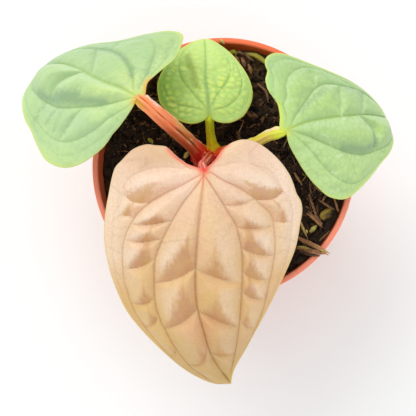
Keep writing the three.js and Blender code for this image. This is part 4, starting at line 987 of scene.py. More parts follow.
        "cross": [[plain_folds((0.45, 0.47), (0.633, 0.662)), plain_folds((0.45, 0.46), (0.62, 0.63), (0.8, 0.81)),
                   plain_folds((0.45, 0.46))],
                  [plain_folds((0.45, 0.47), (0.65, 0.67)), plain_folds((0.45, 0.46), (0.62, 0.63), (0.8, 0.81)),
                   plain_folds((0.45, 0.46))]],
        "shade_smudges": [(1.0, 1.7, [(0.58, 0.765), (0.42, 0.705), (0.28, 0.625), (0.22, 0.555), (0.2, 0.5)])],
    },
}


def smooth_line(pairs, at):
    """A table of pairs read as a smooth rising line: cubic between the pairs, with their mean slope at each."""
    place, value = np.array(pairs, float).T
    slope = np.gradient(value, place)
    k = np.clip(np.searchsorted(place, at, side="right") - 1, 0, len(place) - 2)
    step = place[k + 1] - place[k]
    s = (at - place[k]) / step
    return ((1 + 2 * s) * (1 - s) ** 2 * value[k] + s * (1 - s) ** 2 * step * slope[k]
            + s * s * (3 - 2 * s) * value[k + 1] + s * s * (s - 1) * step * slope[k + 1])


def bent_sheet(midrib, edge, across, t):
    """The blade's middle surface. For each part t of the way from joint to tip it is an arch from the midrib
    (across 0) to the edge (across 1): a quadratic curve whose middle corner is raised by half the drop between
    them. The midrib runs slower than the edge near the joint, because the edge has the lobes to go round."""
    inner = curve(midrib, MIDRIB_EVEN * t + MIDRIB_LATE * t ** MIDRIB_POWER)[:, None]
    outer = curve(edge, t)[:, None]
    shoulder = (inner + outer) / 2
    shoulder[..., 2] += 0.5 * np.abs(inner - outer)[..., 2]
    across = across[..., None]
    return (1 - across) ** 2 * inner + 2 * across * (1 - across) * shoulder + across ** 2 * outer


def soft_least(power, *parts):
    """The least of several heights, with the corners between them rounded off, the less the higher the power."""
    return sum(np.maximum(part, 1e-3) ** -power for part in parts) ** (-1 / power)


def cell_net(a, b, seed):
    """Distance from the borders of a net of uneven cells, about one wide: the gap between the nearest and the next
    nearest of points that are jittered off a lattice."""
    chance = np.random.default_rng(seed)
    jitter = chance.uniform(0.12, 0.88, (64, 64, 2))
    left, low = np.floor(a).astype(int), np.floor(b).astype(int)
    nearest = np.full(a.shape, 9.0)
    second = np.full(a.shape, 9.0)
    for i in (-1, 0, 1):
        for j in (-1, 0, 1):
            spot = jitter[(left + i) % 64, (low + j) % 64]
            away = np.hypot(left + i + spot[..., 0] - a, low + j + spot[..., 1] - b)
            second = np.minimum(second, np.maximum(nearest, away))
            nearest = np.minimum(nearest, away)
    return second - nearest


def to_line(points, line):
    """Distance from each of the points (..., 3) to a broken line of places (n, 3)."""
    least = np.full(points.shape[:-1], 1e9)
    for start, end in zip(line, line[1:]):
        run = end - start
        part = np.clip(((points - start) @ run) / max(run @ run, 1e-9), 0, 1)
        least = np.minimum(least, np.linalg.norm(points - start - part[..., None] * run, axis=-1))
    return least


def half_blade(leaf, side, t):
    """One half of a blade, from the midrib (first column) to its edge (last column). Its columns follow the main
    veins and stand closer near them. The quilting is a roof over each cell between two main veins and two cross
    veins: the least of three heights, which fall to both main veins, to the cross vein before it and to the one
    after. Returns the places before quilting and, for each, the quilting's height and its distances to the veins,
    all in mm, with its marks for painted shade on the roof's hip and inner faces and for a painted highlight on
    its outer faces."""
    veins = np.stack([0 * t, *(smooth_line(table, t) for table in leaf["veins"][side]), 1 + 0 * t], -1)
    strip = np.concatenate([[0], *(np.full(count, k) for k, count in enumerate(leaf["columns"]))]).astype(int)
    u = np.concatenate([[0], *(np.arange(1, count + 1) / count for count in leaf["columns"])])
    u = (u - CROWD_AT_MIDDLE * np.sin(4 * np.pi * u) - CROWD_AT_VEINS * np.sin(2 * np.pi * u))[None]
    across = veins[:, strip] * (1 - u) + veins[:, strip + 1] * u
    place = bent_sheet(leaf["midrib"], leaf["edges"][side], across, t)
    steps = np.linalg.norm(np.diff(place, axis=1), axis=-1)
    reach = np.concatenate([np.zeros((len(t), 1)), np.cumsum(steps, 1)], 1)
    bounds = np.concatenate([[0], np.cumsum(leaf["columns"])])
    width = np.linalg.norm(np.diff(place[:, bounds], axis=1), axis=-1)[:, strip]
    speed = np.linalg.norm(np.gradient(place, t, axis=0), axis=-1)

    strips = []
    for k in range(4):
        own = u[:, strip == k]
        lines = [(0, 0, 0, 0.5, 0, 1.2), *(leaf["cross"][side] + [[]])[k], (1, 1, 0, 0.5, 0, 1.2)]
        at = np.array([start + (end - start) * own[0] + bow * np.sin(np.pi * own[0])
                       for start, end, bow, *_ in lines])[:, None]
        here = t[:, None]
        before = np.where(at < here, at, -1e9).max(0)
        after = np.where(at >= here, at, 1e9).min(0)
        nearest = np.abs(here - at[1:-1]).min(0) if len(lines) > 2 else 0 * before + 9
        apex, spread, length = np.array([line[3:] for line in lines])[(at < here).sum(0)].transpose(2, 0, 1)
        strips.append((here - before, after - here, nearest, apex, spread, length))
    since, until, crossing, apex, spread, length = (np.concatenate([s[k] for s in strips], 1) for k in range(6))
    since, until, crossing = since * speed, until * speed, crossing * speed
    half_width = np.maximum(width / 2, 0.5)
    down = np.where(u < apex, (apex - u) / apex, (u - apex) / (1 - apex))
    roof_power, corner_power = leaf["crisp"]
    run_out = 1 - np.clip(until / half_width / length, 0, 1)
    run_in = 1 - np.clip(since / half_width / 0.9, 0, 1)
    quilt = soft_least(corner_power, 1 - down ** roof_power, 1 - run_out ** 2, 1 - run_in ** 2)
    puff = leaf["puff"] * np.array(leaf["swell"][side])[strip] * np.minimum(1, t / JOINT_FADE)[:, None]
    # Painted shade: the hip face at the tip end of each cell, which is turned away from the light, is marked to be
    # darkened.
    shaded_facet = np.clip(spread * run_out ** 1.4 - down - 0.25 * (1 - run_out), -1, 1)
    closeness = np.clip(1.15 - until / half_width / 3, 0, 1) * np.clip(since / half_width / 0.5, 0, 1)
    inner_shade = np.array(leaf.get("inner_shade", [(0,) * 4] * 2)[side])[strip]
    # Painted shade: inner marks each cell's side towards the midrib. Painted highlight: outer marks its far side.
    inner = np.clip((apex * (0.35 + 0.85 * run_out) - u) * 8, 0, 1) * closeness * inner_shade
    outer = np.clip((u - apex) * 8, 0, 1) * closeness * np.clip(4 - 4 * u, 0, 1) * spread

    vein_gap = []
    for k in range(4):
        column = bounds[k]
        run = unit(np.gradient(place[:, column], axis=0))
        over = unit(place[:, min(column + 1, len(strip) - 1)] - place[:, max(column - 1, 0)])
        slant = np.linalg.norm(np.cross(run, over), axis=-1)[:, None]
        vein_gap.append(np.abs(reach - reach[:, column:column + 1]) * slant)
    return {"place": place, "across": across, "reach": reach, "to_edge": reach[:, -1:] - reach,
            "lift": quilt * puff * width, "crossing": crossing, "midrib_gap": vein_gap[0], "vein_1": vein_gap[1],
            "vein_2": vein_gap[2], "vein_3": vein_gap[3], "shaded_facet": shaded_facet, "inner": inner, "outer": outer}


def leaf_blade(name, leaf, material):
    """A whole blade: both halves side by side, lifted along the normal by the quilting, the net and the wrinkles.
    Its upper face lies above that surface by the half thickness less the veins' grooves, its lower face below it by
    the half thickness and the veins' ribs, and they meet in a rounded edge. Returns its mesh piece."""
    t = np.linspace(0, 1, leaf["rows"] + 1)[1:-1]
    halves = [half_blade(leaf, side, t) for side in (0, 1)]
    half = {key: np.concatenate([halves[0][key][:, :0:-1], halves[1][key]], 1) for key in halves[0]}
    place = half["place"]
    width = place.shape[1]
    middle = (width - 1) // 2
    joint, tip = np.array(leaf["midrib"][0], float), np.array(leaf["midrib"][-1], float)
    padded = np.concatenate([np.broadcast_to(joint, (1, width, 3)), place, np.broadcast_to(tip, (1, width, 3))])
    along = padded[2:] - padded[:-2]
    over = np.empty_like(place)
    over[:, 1:-1] = place[:, 2:] - place[:, :-2]
    over[:, 0], over[:, -1] = place[:, 1] - place[:, 0], place[:, -1] - place[:, -2]
    normal = unit(np.cross(along, over))
    joint_normal = normal[round(len(t) * 0.2), middle]
    from_joint = np.linalg.norm(place - joint, axis=-1)
    share = np.minimum(1, from_joint / JOINT_BLEND_MM)[..., None] ** 2
    normal = unit(joint_normal * (1 - share) + normal * share)

    side_sign = np.sign(np.arange(width) - middle)
    signed = half["reach"] * side_sign
    length = np.cumsum(np.linalg.norm(np.diff(padded[:-1], axis=0), axis=-1), 0)
    size_a, size_b, net_height = leaf["net"]
    axis = unit(tip - joint)
    aside = unit(np.cross(axis, joint_normal))
    sway = 0.5 * rough(signed, length, 9, 33, 2)
    gap = cell_net((place - joint) @ aside / size_a + sway + 30, (place - joint) @ axis / size_b - sway + 20, 5)
    fade = np.clip(from_joint / JOINT_CALM_MM, 0, 1) * np.clip(half["to_edge"] / MARGIN_MM, 0, 1)
    pucker = (1 - np.exp(-((gap / PUCKER_WIDTH) ** 2))) * fade
    wrinkle = rough(signed, length, 5.0, 61, 3) * leaf["wrinkle"] * fade
    relief = half["lift"] + net_height * pucker + wrinkle
    centre = place + normal * relief[..., None]

    def drawn(spots, spread_mm):
        """Nearness, 1 to 0, to a line drawn on the blade through (across, along) spots."""
        w, at = curve(spots, np.linspace(0, 1, 16)).T
        row = np.clip(np.round(at * leaf["rows"]).astype(int) - 1, 0, len(t) - 1)
        column = np.abs(half["across"][row] * side_sign - w[:, None]).argmin(1)
        return np.exp(-((to_line(place, place[row, column]) / spread_mm) ** 2))

    crease = np.maximum.reduce([0 * gap, *(strength * drawn(spots, CREASE_WIDTH_MM)
                                           for strength, spots in leaf.get("creases", ()))])
    # Painted shade along folds and in dents, partly real bruises and dirt.
    shade_smudge = np.maximum.reduce([0 * gap, *(strength * drawn(spots, size)
                                           for strength, size, spots in leaf.get("shade_smudges", ()))])
    scuff = np.maximum.reduce([0 * gap, *(drawn(spots, SCUFF_WIDTH_MM) for spots in leaf.get("scuffs", ()))])
    notch = 0 * gap
    for side, edge in enumerate(leaf["edges"]):
        by_joint = to_line(place, curve(edge, np.linspace(0, leaf["notch"][side], 14))) / leaf["notch_width"]
        notch = np.maximum(notch, np.exp(-(by_joint ** 2)) * (side_sign * (2 * side - 1) >= 0))
    ageing = np.clip((1.1 - t) / 0.6, 0.3, 1)[:, None]
    strengths = leaf["vein_strength"]
    lines = [np.exp(-((half[key] / (size * (0.4 + 0.6 * ageing))) ** 2)) * strength
             for (key, *_), size, strength in zip(RIBS_MM, leaf["vein_width"], strengths)]
    cross_line = np.exp(-((half["crossing"] / leaf["vein_width"][3]) ** 2)) * np.clip(half["to_edge"] / 2, 0, 1)
    cross_line = cross_line * strengths[4]
    main = np.clip(from_joint / VEINS_START_MM, 0, 1) * np.clip(half["to_edge"] / VEINS_STOP_MM, 0, 1)
    main_line = np.maximum.reduce(lines[1:])
    groove = np.maximum.reduce([GROOVES_MM["midrib"] * lines[0], GROOVES_MM["vein"] * main_line * main,
                                GROOVES_MM["crossing"] * cross_line, GROOVES_MM["crease"] * crease])
    groove = groove * np.clip(from_joint / GROOVES_START_MM, 0.2, 1)
    near = np.clip(half["to_edge"] / EDGE_ROUND_MM, 0, 1)
    thin, full = HALF_THICKNESS_MM
    thick = (thin + (full - thin) * np.clip(half["to_edge"] / THICKENING_MM, 0, 1)) * np.sqrt(1 - (1 - near) ** 2)
    thick = np.where(np.arange(width)[None] % (width - 1) == 0, 0, thick)
    upper = centre + normal * (thick - groove * near)[..., None]
    rib = np.maximum.reduce([*(height * np.exp(-((half[key] / wide) ** 2)) * ageing * main
                               for key, height, wide in RIBS_MM), CROSS_RIB_MM * cross_line, CREASE_RIB_MM * crease])
    lower = centre - normal * (thick + rib * near)[..., None]

    # Painted light and shade: how steeply each slope of the relief faces away from the lamp side (above 0, painted
    # shade) or towards it (below 0, painted light), with none near the joint.
    down_row, down_column = np.gradient(place, axis=0), np.gradient(place, axis=1)
    rise_row, rise_column = np.gradient(relief, axis=0), np.gradient(relief, axis=1)
    row_row, row_column, column_column = ((a * b).sum(-1) for a, b in (
        (down_row, down_row), (down_row, down_column), (down_column, down_column)))
    spread_out = np.maximum(row_row * column_column - row_column ** 2, 1e-6)
    share_row = (column_column * rise_row - row_column * rise_column) / spread_out
    share_column = (row_row * rise_column - row_column * rise_row) / spread_out
    uphill = share_row[..., None] * down_row + share_column[..., None] * down_column
    painted_shading = np.clip(uphill @ PAINTED_LIGHT_SIDE / leaf["painted_shade_slope"], -1, 1) * np.clip(from_joint / JOINT_CALM_MM, 0, 1)

    bounds = np.concatenate([[0], np.cumsum(leaf["columns"])])
    kept = [k for k in range(middle + 1) if k % 2 == 0 or k in bounds]
    kept = np.array([middle - k for k in kept[::-1]] + [middle + k for k in kept[1:]])
    numbers = np.arange(len(t) * width).reshape(len(t), width)
    low_numbers = len(t) * width + np.arange(len(t) * len(kept)).reshape(len(t), -1)
    low_numbers[:, 0], low_numbers[:, -1] = numbers[:, 0], numbers[:, -1]
    points = np.concatenate([upper.reshape(-1, 3), lower[:, kept].reshape(-1, 3), [joint, tip]])
    joint_number, tip_number = len(points) - 2, len(points) - 1

    def faces_of(table, flip):
        """Squares between a table's rows, with fans at the joint and at the tip."""
        a, b, c, d = table[:-1, :-1], table[1:, :-1], table[1:, 1:], table[:-1, 1:]
        squares = np.stack([a, b, c, d], -1).reshape(-1, 4)
        start = np.stack([np.full(table.shape[1] - 1, joint_number), table[0, :-1], table[0, 1:]], -1)
        end = np.stack([table[-1, :-1], np.full(table.shape[1] - 1, tip_number), table[-1, 1:]], -1)
        return [f[:, ::-1] if flip else f for f in (squares, start, end)]

    faces = faces_of(numbers, False) + faces_of(low_numbers, True)
    used = np.unique(np.concatenate([f.ravel() for f in faces]))
    renumber = np.full(len(points), -1)
    renumber[used] = np.arange(len(used))

    def spread(values, at_joint=0.0, at_tip=0.0):
        """A marking for every point of both faces."""
        return np.concatenate([values.ravel(), values[:, kept].ravel(), [at_joint, at_tip]])[used]

    leaf_plane = np.concatenate([place.reshape(-1, 3), place[:, kept].reshape(-1, 3), [joint, tip]])[used] - joint
    t_grid = t[:, None] + 0 * gap
    rays = np.maximum(lines[0], main_line) * np.exp(-((from_joint / JOINT_RAYS_MM) ** 2))
    values = {
        "along": spread(t_grid, 0, 1), "across": spread(half["across"] * side_sign), "painted_shading": spread(painted_shading),
        "midrib": spread(lines[0], 1, 1), "vein": spread(np.maximum(main_line * main, crease)),
        "crossing": spread(cross_line), "shade_smudge": spread(shade_smudge),
        "shaded_facet": spread(half["shaded_facet"], -1, -1), "inner": spread(half["inner"]), "outer": spread(half["outer"]),
        "net": spread(np.exp(-((gap / leaf["net_line"]) ** 2)) * fade),
        "cell": spread(np.clip(gap / 0.6 - 0.1, 0, 1) * fade),
        "edge": spread(np.exp(-((half["to_edge"] / EDGE_LINE_MM) ** 2)), 1, 1), "notch": spread(notch, 1, 0),
        "scuff": spread(scuff), "margin": spread(np.exp(-half["to_edge"] / MARGIN_MM), 1, 1),
        "joint": spread(np.maximum(np.exp(-((from_joint / JOINT_SPOT_MM) ** 2)), 0.85 * rays), 1, 0),
        "under": np.concatenate([np.zeros(numbers.size), np.ones(low_numbers.size), [0, 0]])[used],
    }
    flat = np.stack([leaf_plane @ aside, leaf_plane @ axis], -1) / 100
    return new_piece(name, points[used] * MM, [renumber[f] for f in faces], material, values, flat)


young_leaf, tree, shader, place = new_material("young_leaf", Roughness=0.42, Sheen_Weight=0.12, Sheen_Roughness=0.4)
along, across, midrib, vein, crossing, shaded_facet, inner, outer, net, edge, notch, joint, under = marks(
    tree, "along", "across", "midrib", "vein", "crossing", "shaded_facet", "inner", "outer", "net", "edge", "notch", "joint",
    "under")
grain = cloud(place, 1400, 3)
golden = times(part_of(across, -0.2, -0.02), part_of(across, 0.35, 0.05), part_of(along, 0.5, 0.2))
left_lobe = times(part_of(across, -0.4, -0.75), part_of(along, 0.27, 0.17))
right_lobe = times(part_of(across, 0.3, 0.6), part_of(along, 0.24, 0.14))
lit_left_flank = times(part_of(across, -0.6, -0.88), part_of(along, 0.24, 0.34), part_of(along, 0.6, 0.5))
lit_margin = times(part_of(across, 0.7, 0.9), part_of(along, 0.2, 0.3), part_of(along, 0.62, 0.5))
low_left = times(part_of(across, -0.35, -0.6), part_of(along, 0.5, 0.62))
low_band = times(part_of(along, 0.76, 0.84), part_of(along, 0.98, 0.9))
flushed = times(part_of(across, -0.5, -0.15), part_of(across, 0.5, 0.1), part_of(along, 0.72, 0.76),
                part_of(along, 0.86, 0.78))
lengthwise = stretched(put(tree, "UVMap", uv_map="flat").outputs["UV"], 80, 26, 1)
tongues = times(part_of(cloud(lengthwise, 1, 3, 0.5), 0.3, 0.7, -0.13, 0.13), part_of(along, 0.27, 0.38, 0.2, 1))
blurred = times(part_of(cloud(place, 420, 3, 0.6), 0.3, 0.7, -0.3, 0.3), part_of(along, 0.38, 0.27))
ragged = plus(shaded_facet, part_of(cloud(place, 2400, 2), 0.3, 0.7, -0.07, 0.07), blurred, tongues)
shaded_tan = tinted(part_of(cloud(place, 260, 4, 0.65), 0.4, 0.6), (196, 140, 98), (202, 154, 90))
ageing = times(part_of(along, 0.15, 0.5, 0.2, 0.5), part_of(along, 0.8, 1, 1, 0))
skin = coated(
    ramped(along, [(0.0, (240, 206, 164)), (0.2, (239, 209, 184)), (0.42, (230, 194, 148)), (0.64, (220, 181, 116)),
                   (0.85, (208, 174, 106)), (1, (190, 162, 84))]),
    ((242, 206, 140), golden, 0.75),
    ((236, 194, 172), part_of(cloud(place, 55, 3), 0.42, 0.62, 0, 0.35)),
    ((208, 170, 122), left_lobe, 0.8),
    ((224, 190, 142), right_lobe, 0.4),
    # Painted highlights: pale cream where light falls on the left flank and on the right margin.
    ((246, 226, 202), lit_left_flank, 0.6),
    ((250, 232, 214), lit_margin, 0.55),
    # Painted highlight: pale cream sheen on the outer side of each cell.
    ((247, 228, 208), outer, part_of(along, 0.45, 0.7, 0.85, 0.5)),
    ((216, 180, 104), low_left, 0.6),
    ((196, 162, 106), low_band, 0.5),
    ((222, 162, 114), flushed, 0.5),
    # Painted shade on the inner side of each cell.
    ((216, 164, 124), inner, part_of(grain, 0.3, 0.6, 0.5, 0.85)),
    # Painted shade: the dark brownish hip faces at the tip end of each cell, with ragged borders.
    (shaded_tan, part_of(ragged, -0.24, 0.2, 0, 0.9), part_of(along, 0.26, 0.36, 0.62, 1)),
    ((186, 148, 112), net, part_of(cloud(place, 120, 2), 0.42, 0.6), 0.14),
    ((150, 108, 78), crossing, 0.26),
    ((150, 112, 88), vein, 0.42),
    ((160, 120, 82), midrib, ageing),
    ((226, 196, 104), edge, part_of(along, 0.22, 0.4, 0.1, 0.7)),
    ((242, 92, 76), notch, 0.85),
    ((238, 46, 32), joint),
    ((200, 150, 112), part_of(grain, 0.35, 0.65, 0, 0.24)),
    ((226, 178, 150), under, 0.5))
feed(shader, Base_Color=skin, Roughness=part_of(cloud(place, 300, 3), 0.35, 0.65, 0.38, 0.5))
bumped(shader, cloud(place, 1700, 4), 0.00014, 0.4)
blade = leaf_blade("blade_front_skin", BLADES["blade_front"], young_leaf)
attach(blade, "root")
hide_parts("blade_front")

green_leaf, tree, shader, place = new_material("green_leaf", Roughness=0.5, Sheen_Weight=0.15, Sheen_Roughness=0.5)
midrib, vein, crossing, painted_shading, shade_smudge, net, margin, notch, scuff, joint, under = marks(
    tree, "midrib", "vein", "crossing", "painted_shading", "shade_smudge", "net", "margin", "notch", "scuff", "joint", "under")
grain = cloud(place, 900, 3)
parted = put(tree, "SeparateXYZ", {"Vector": place}).outputs
on_right, backward_part = part_of(parted["X"], -0.005, 0.005), parted["Y"]
ragged = plus(shade_smudge, part_of(grain, 0.3, 0.7, -0.2, 0.2))
skin = coated(
    ramped(part_of(cloud(place, 26, 3), 0.37, 0.63),
           [(0, (174, 206, 156)), (0.35, (179, 211, 148)), (0.65, (187, 216, 142)), (1, (199, 222, 138))]),
    ((172, 210, 120), on_right, 0.6),
    # Painted shade towards the back of the pot, over the blades' upper lobes; paler towards the front.
    ((158, 190, 132), part_of(backward_part, 0.024, 0.044, 0, 0.5)),
    ((200, 226, 156), part_of(backward_part, 0.012, 0.0, 0, 0.4)),
    # Painted shade on slopes that face away from the lamp side, and painted light on slopes that face it.
    ((140, 172, 120), part_of(painted_shading, 0.05, 0.9, 0, 0.45)),
    ((204, 228, 178), part_of(painted_shading, -0.1, -0.9, 0, 0.4)),
    # Painted shade along folds, partly real bruises and dirt, with ragged borders.
    ((126, 158, 118), part_of(ragged, 0.15, 0.9, 0, 0.75)),
    ((146, 184, 112), net, part_of(on_right, 0, 1, 0.16, 0.34)),
    ((134, 172, 106), crossing, 0.3),
    ((132, 168, 102), vein, part_of(on_right, 0, 1, 0.44, 0.6)),
    ((150, 182, 80), midrib, part_of(on_right, 0, 1, 0.5, 0.7)),
    ((214, 230, 106), part_of(margin, 0.55, 0.95, 0, 0.75)),
    (tinted(on_right, (232, 170, 66), (208, 228, 84)), notch, 0.9),
    ((196, 206, 60), joint, 0.6),
    ((230, 242, 216), scuff, part_of(cloud(place, 1300, 2), 0.42, 0.62, 0.05, 0.6)),
    ((142, 178, 120), part_of(grain, 0.35, 0.65, 0, 0.14)),
    ((196, 214, 160), under, 0.5))
feed(shader, Base_Color=skin, Roughness=part_of(cloud(place, 300, 3), 0.35, 0.65, 0.42, 0.56))
bumped(shader, cloud(place, 1500, 4), 0.00014, 0.4)
for name in ("blade_left", "blade_right"):
    blade = leaf_blade(name + "_skin", BLADES[name], green_leaf)
    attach(blade, "root")
    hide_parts(name)

netted_leaf, tree, shader, place = new_material("netted_leaf", Roughness=0.46, Sheen_Weight=0.1, Sheen_Roughness=0.5)
along, across, midrib, vein, crossing, shade_smudge, cell, net, edge, joint, under = marks(
    tree, "along", "across", "midrib", "vein", "crossing", "shade_smudge", "cell", "net", "edge", "joint", "under")
grain = cloud(place, 900, 3)
patchy = part_of(cloud(place, 110, 2), 0.38, 0.56, 0.3, 1)
within = times(part_of(across, 1, 0.8), part_of(across, -1, -0.8))
ragged = plus(shade_smudge, part_of(grain, 0.3, 0.7, -0.15, 0.15))
skin = coated(
    ramped(along, [(0, (182, 218, 110)), (0.5, (190, 222, 120)), (1, (206, 232, 138))]),
    # Painted shadow: darker green on the left half near the joint, where the left blade overhangs; the right edge is
    # paler.
    ((142, 190, 78), part_of(across, 0.3, 0.9), part_of(along, 0.9, 0.5)),
    ((176, 216, 132), part_of(across, -0.5, -0.95), 0.5),
    ((224, 241, 112), cell, part_of(along, 0.9, 0.5, 0.15, 1), patchy, within, 0.8),
    ((142, 190, 88), net, part_of(along, 0.9, 0.5, 0.08, 0.4), part_of(patchy, 0.3, 1, 0.5, 1), within),
    ((124, 172, 84), crossing, 0.2),
    ((122, 168, 94), vein, part_of(along, 0.85, 0.4, 0.2, 0.48)),
    ((128, 172, 112), midrib, part_of(along, 1, 0.55, 0.2, 0.7)),
    # Painted shade in a dent across the blade, with ragged borders.
    ((138, 162, 52), part_of(ragged, 0.2, 0.95, 0, 0.68)),
    ((224, 224, 84), edge, 0.8),
    ((158, 180, 50), joint, 0.6),
    ((134, 174, 82), part_of(grain, 0.35, 0.65, 0, 0.12)),
    ((188, 212, 140), under, 0.5))
feed(shader, Base_Color=skin)
bumped(shader, cloud(place, 1500, 4), 0.00014, 0.4)
blade = leaf_blade("blade_back_skin", BLADES["blade_back"], netted_leaf)
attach(blade, "root")
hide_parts("blade_back")


# What lies on the soil: a dry twig with strips of bark and straw that rests over the rim, loose straws, a cut
# yellow-green stalk by the wall at the back, and an oval husk. They lie loose where they fell.
STRIP_RIBS = [(1.5, 0.3, 0.3, 1), (-1.5, 0.25, 0.3, 1), (0.5, 0.2, 0.2, 0.6), (-0.4, -0.2, 0.3, 0.4),
              (2.6, 0.2, 0.3, 0.6)]
STRIP_THINNING = (1, 0.85)
STRIP_STEPS, STRIP_SIDES = 48, 24


def dry_strips(name, strips, material):
    """Dry strips of bark and straw as one mesh. Each is (line of places, widths, flatness, tone) and is a ribbed tube
    pressed flat, with a frayed edge. Its widths are read at parts of the way, or else at even steps."""
    all_points, all_faces, tones, shift = [], [], [], 0
    for line, widths, flat, tone in strips:
        if np.ndim(widths) == 1:
            widths = np.stack([np.linspace(0, 1, len(widths)), widths], -1)
        points, faces, values, _ = ribbed_stalk(line, np.array(widths) * STRIP_THINNING, flat, STRIP_RIBS,
                                                STRIP_STEPS, STRIP_SIDES)
        all_points.append(points)
        all_faces += [f + shift for f in faces]
        tones.append(0.8 * tone + 0.24 * values["ridge"] * (tone < 0.9))
        shift += len(points)
    return new_piece(name, np.concatenate(all_points) * MM, all_faces, material, {"tone": np.concatenate(tones)})


TWIG_STRIPS = [
    ([(29.9, -28.3, 85.8), (31.8, -29.4, 88), (35.7, -31.8, 93.6), (38.7, -33.6, 94.5), (41.1, -34.8, 94.2)],
     [(0, 0.5), (0.3, 0.8), (0.7, 0.75), (0.95, 0.5), (1, 0.1)], 0.45, 0.62),
    ([(30.4, -28.9, 85.4), (33, -30.8, 89.2), (37, -33.2, 93.9), (40.2, -35.2, 93.6)],
     [(0, 0.5), (0.4, 0.6), (0.9, 0.35), (1, 0.1)], 0.5, 0.4),
    ([(29.5, -32.3, 85.4), (31.8, -32.7, 87.4), (34.4, -34, 93.2), (37.4, -34.9, 94.3), (40.9, -35.3, 93.7)],
     [(0, 0.6), (0.3, 1), (0.6, 0.95), (0.85, 0.5), (1, 0.1)], 0.45, 0.5),
    ([(30.4, -33.4, 85.2), (33.4, -34.9, 90.8), (36.2, -35.9, 93.3), (38.2, -36.1, 93.2)],
     [(0, 0.4), (0.4, 0.75), (0.85, 0.5), (1, 0.1)], 0.5, 0.16),
    ([(30.2, -31.9, 86.2), (32, -32.4, 88.6), (34, -33.3, 93.5)], (0.3, 0.7, 0.15), 0.4, 0.95),
    ([(38.4, -33.6, 94.6), (40.4, -34.4, 94.9), (42, -35.4, 94.6)], [(0, 0.4), (0.6, 0.3), (1, 0.06)], 0.6, 0.85),
    ([(38.6, -34.6, 94.1), (40.3, -35.2, 94.3), (41.6, -36, 93.6)], [(0, 0.35), (0.6, 0.25), (1, 0.06)], 0.6, 0.75),
]
twig_bark = toned_material("twig_bark", [(0, (74, 62, 58)), (0.28, (122, 92, 68)), (0.48, (168, 122, 82)),
                                         (0.64, (200, 146, 94)), (0.76, (186, 168, 92)), (0.9, (212, 202, 112)),
                                         (1, (158, 154, 40))], 0.85, 1200)
twig = dry_strips("dry_twig", TWIG_STRIPS, twig_bark)
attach(twig, "root")
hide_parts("twig")

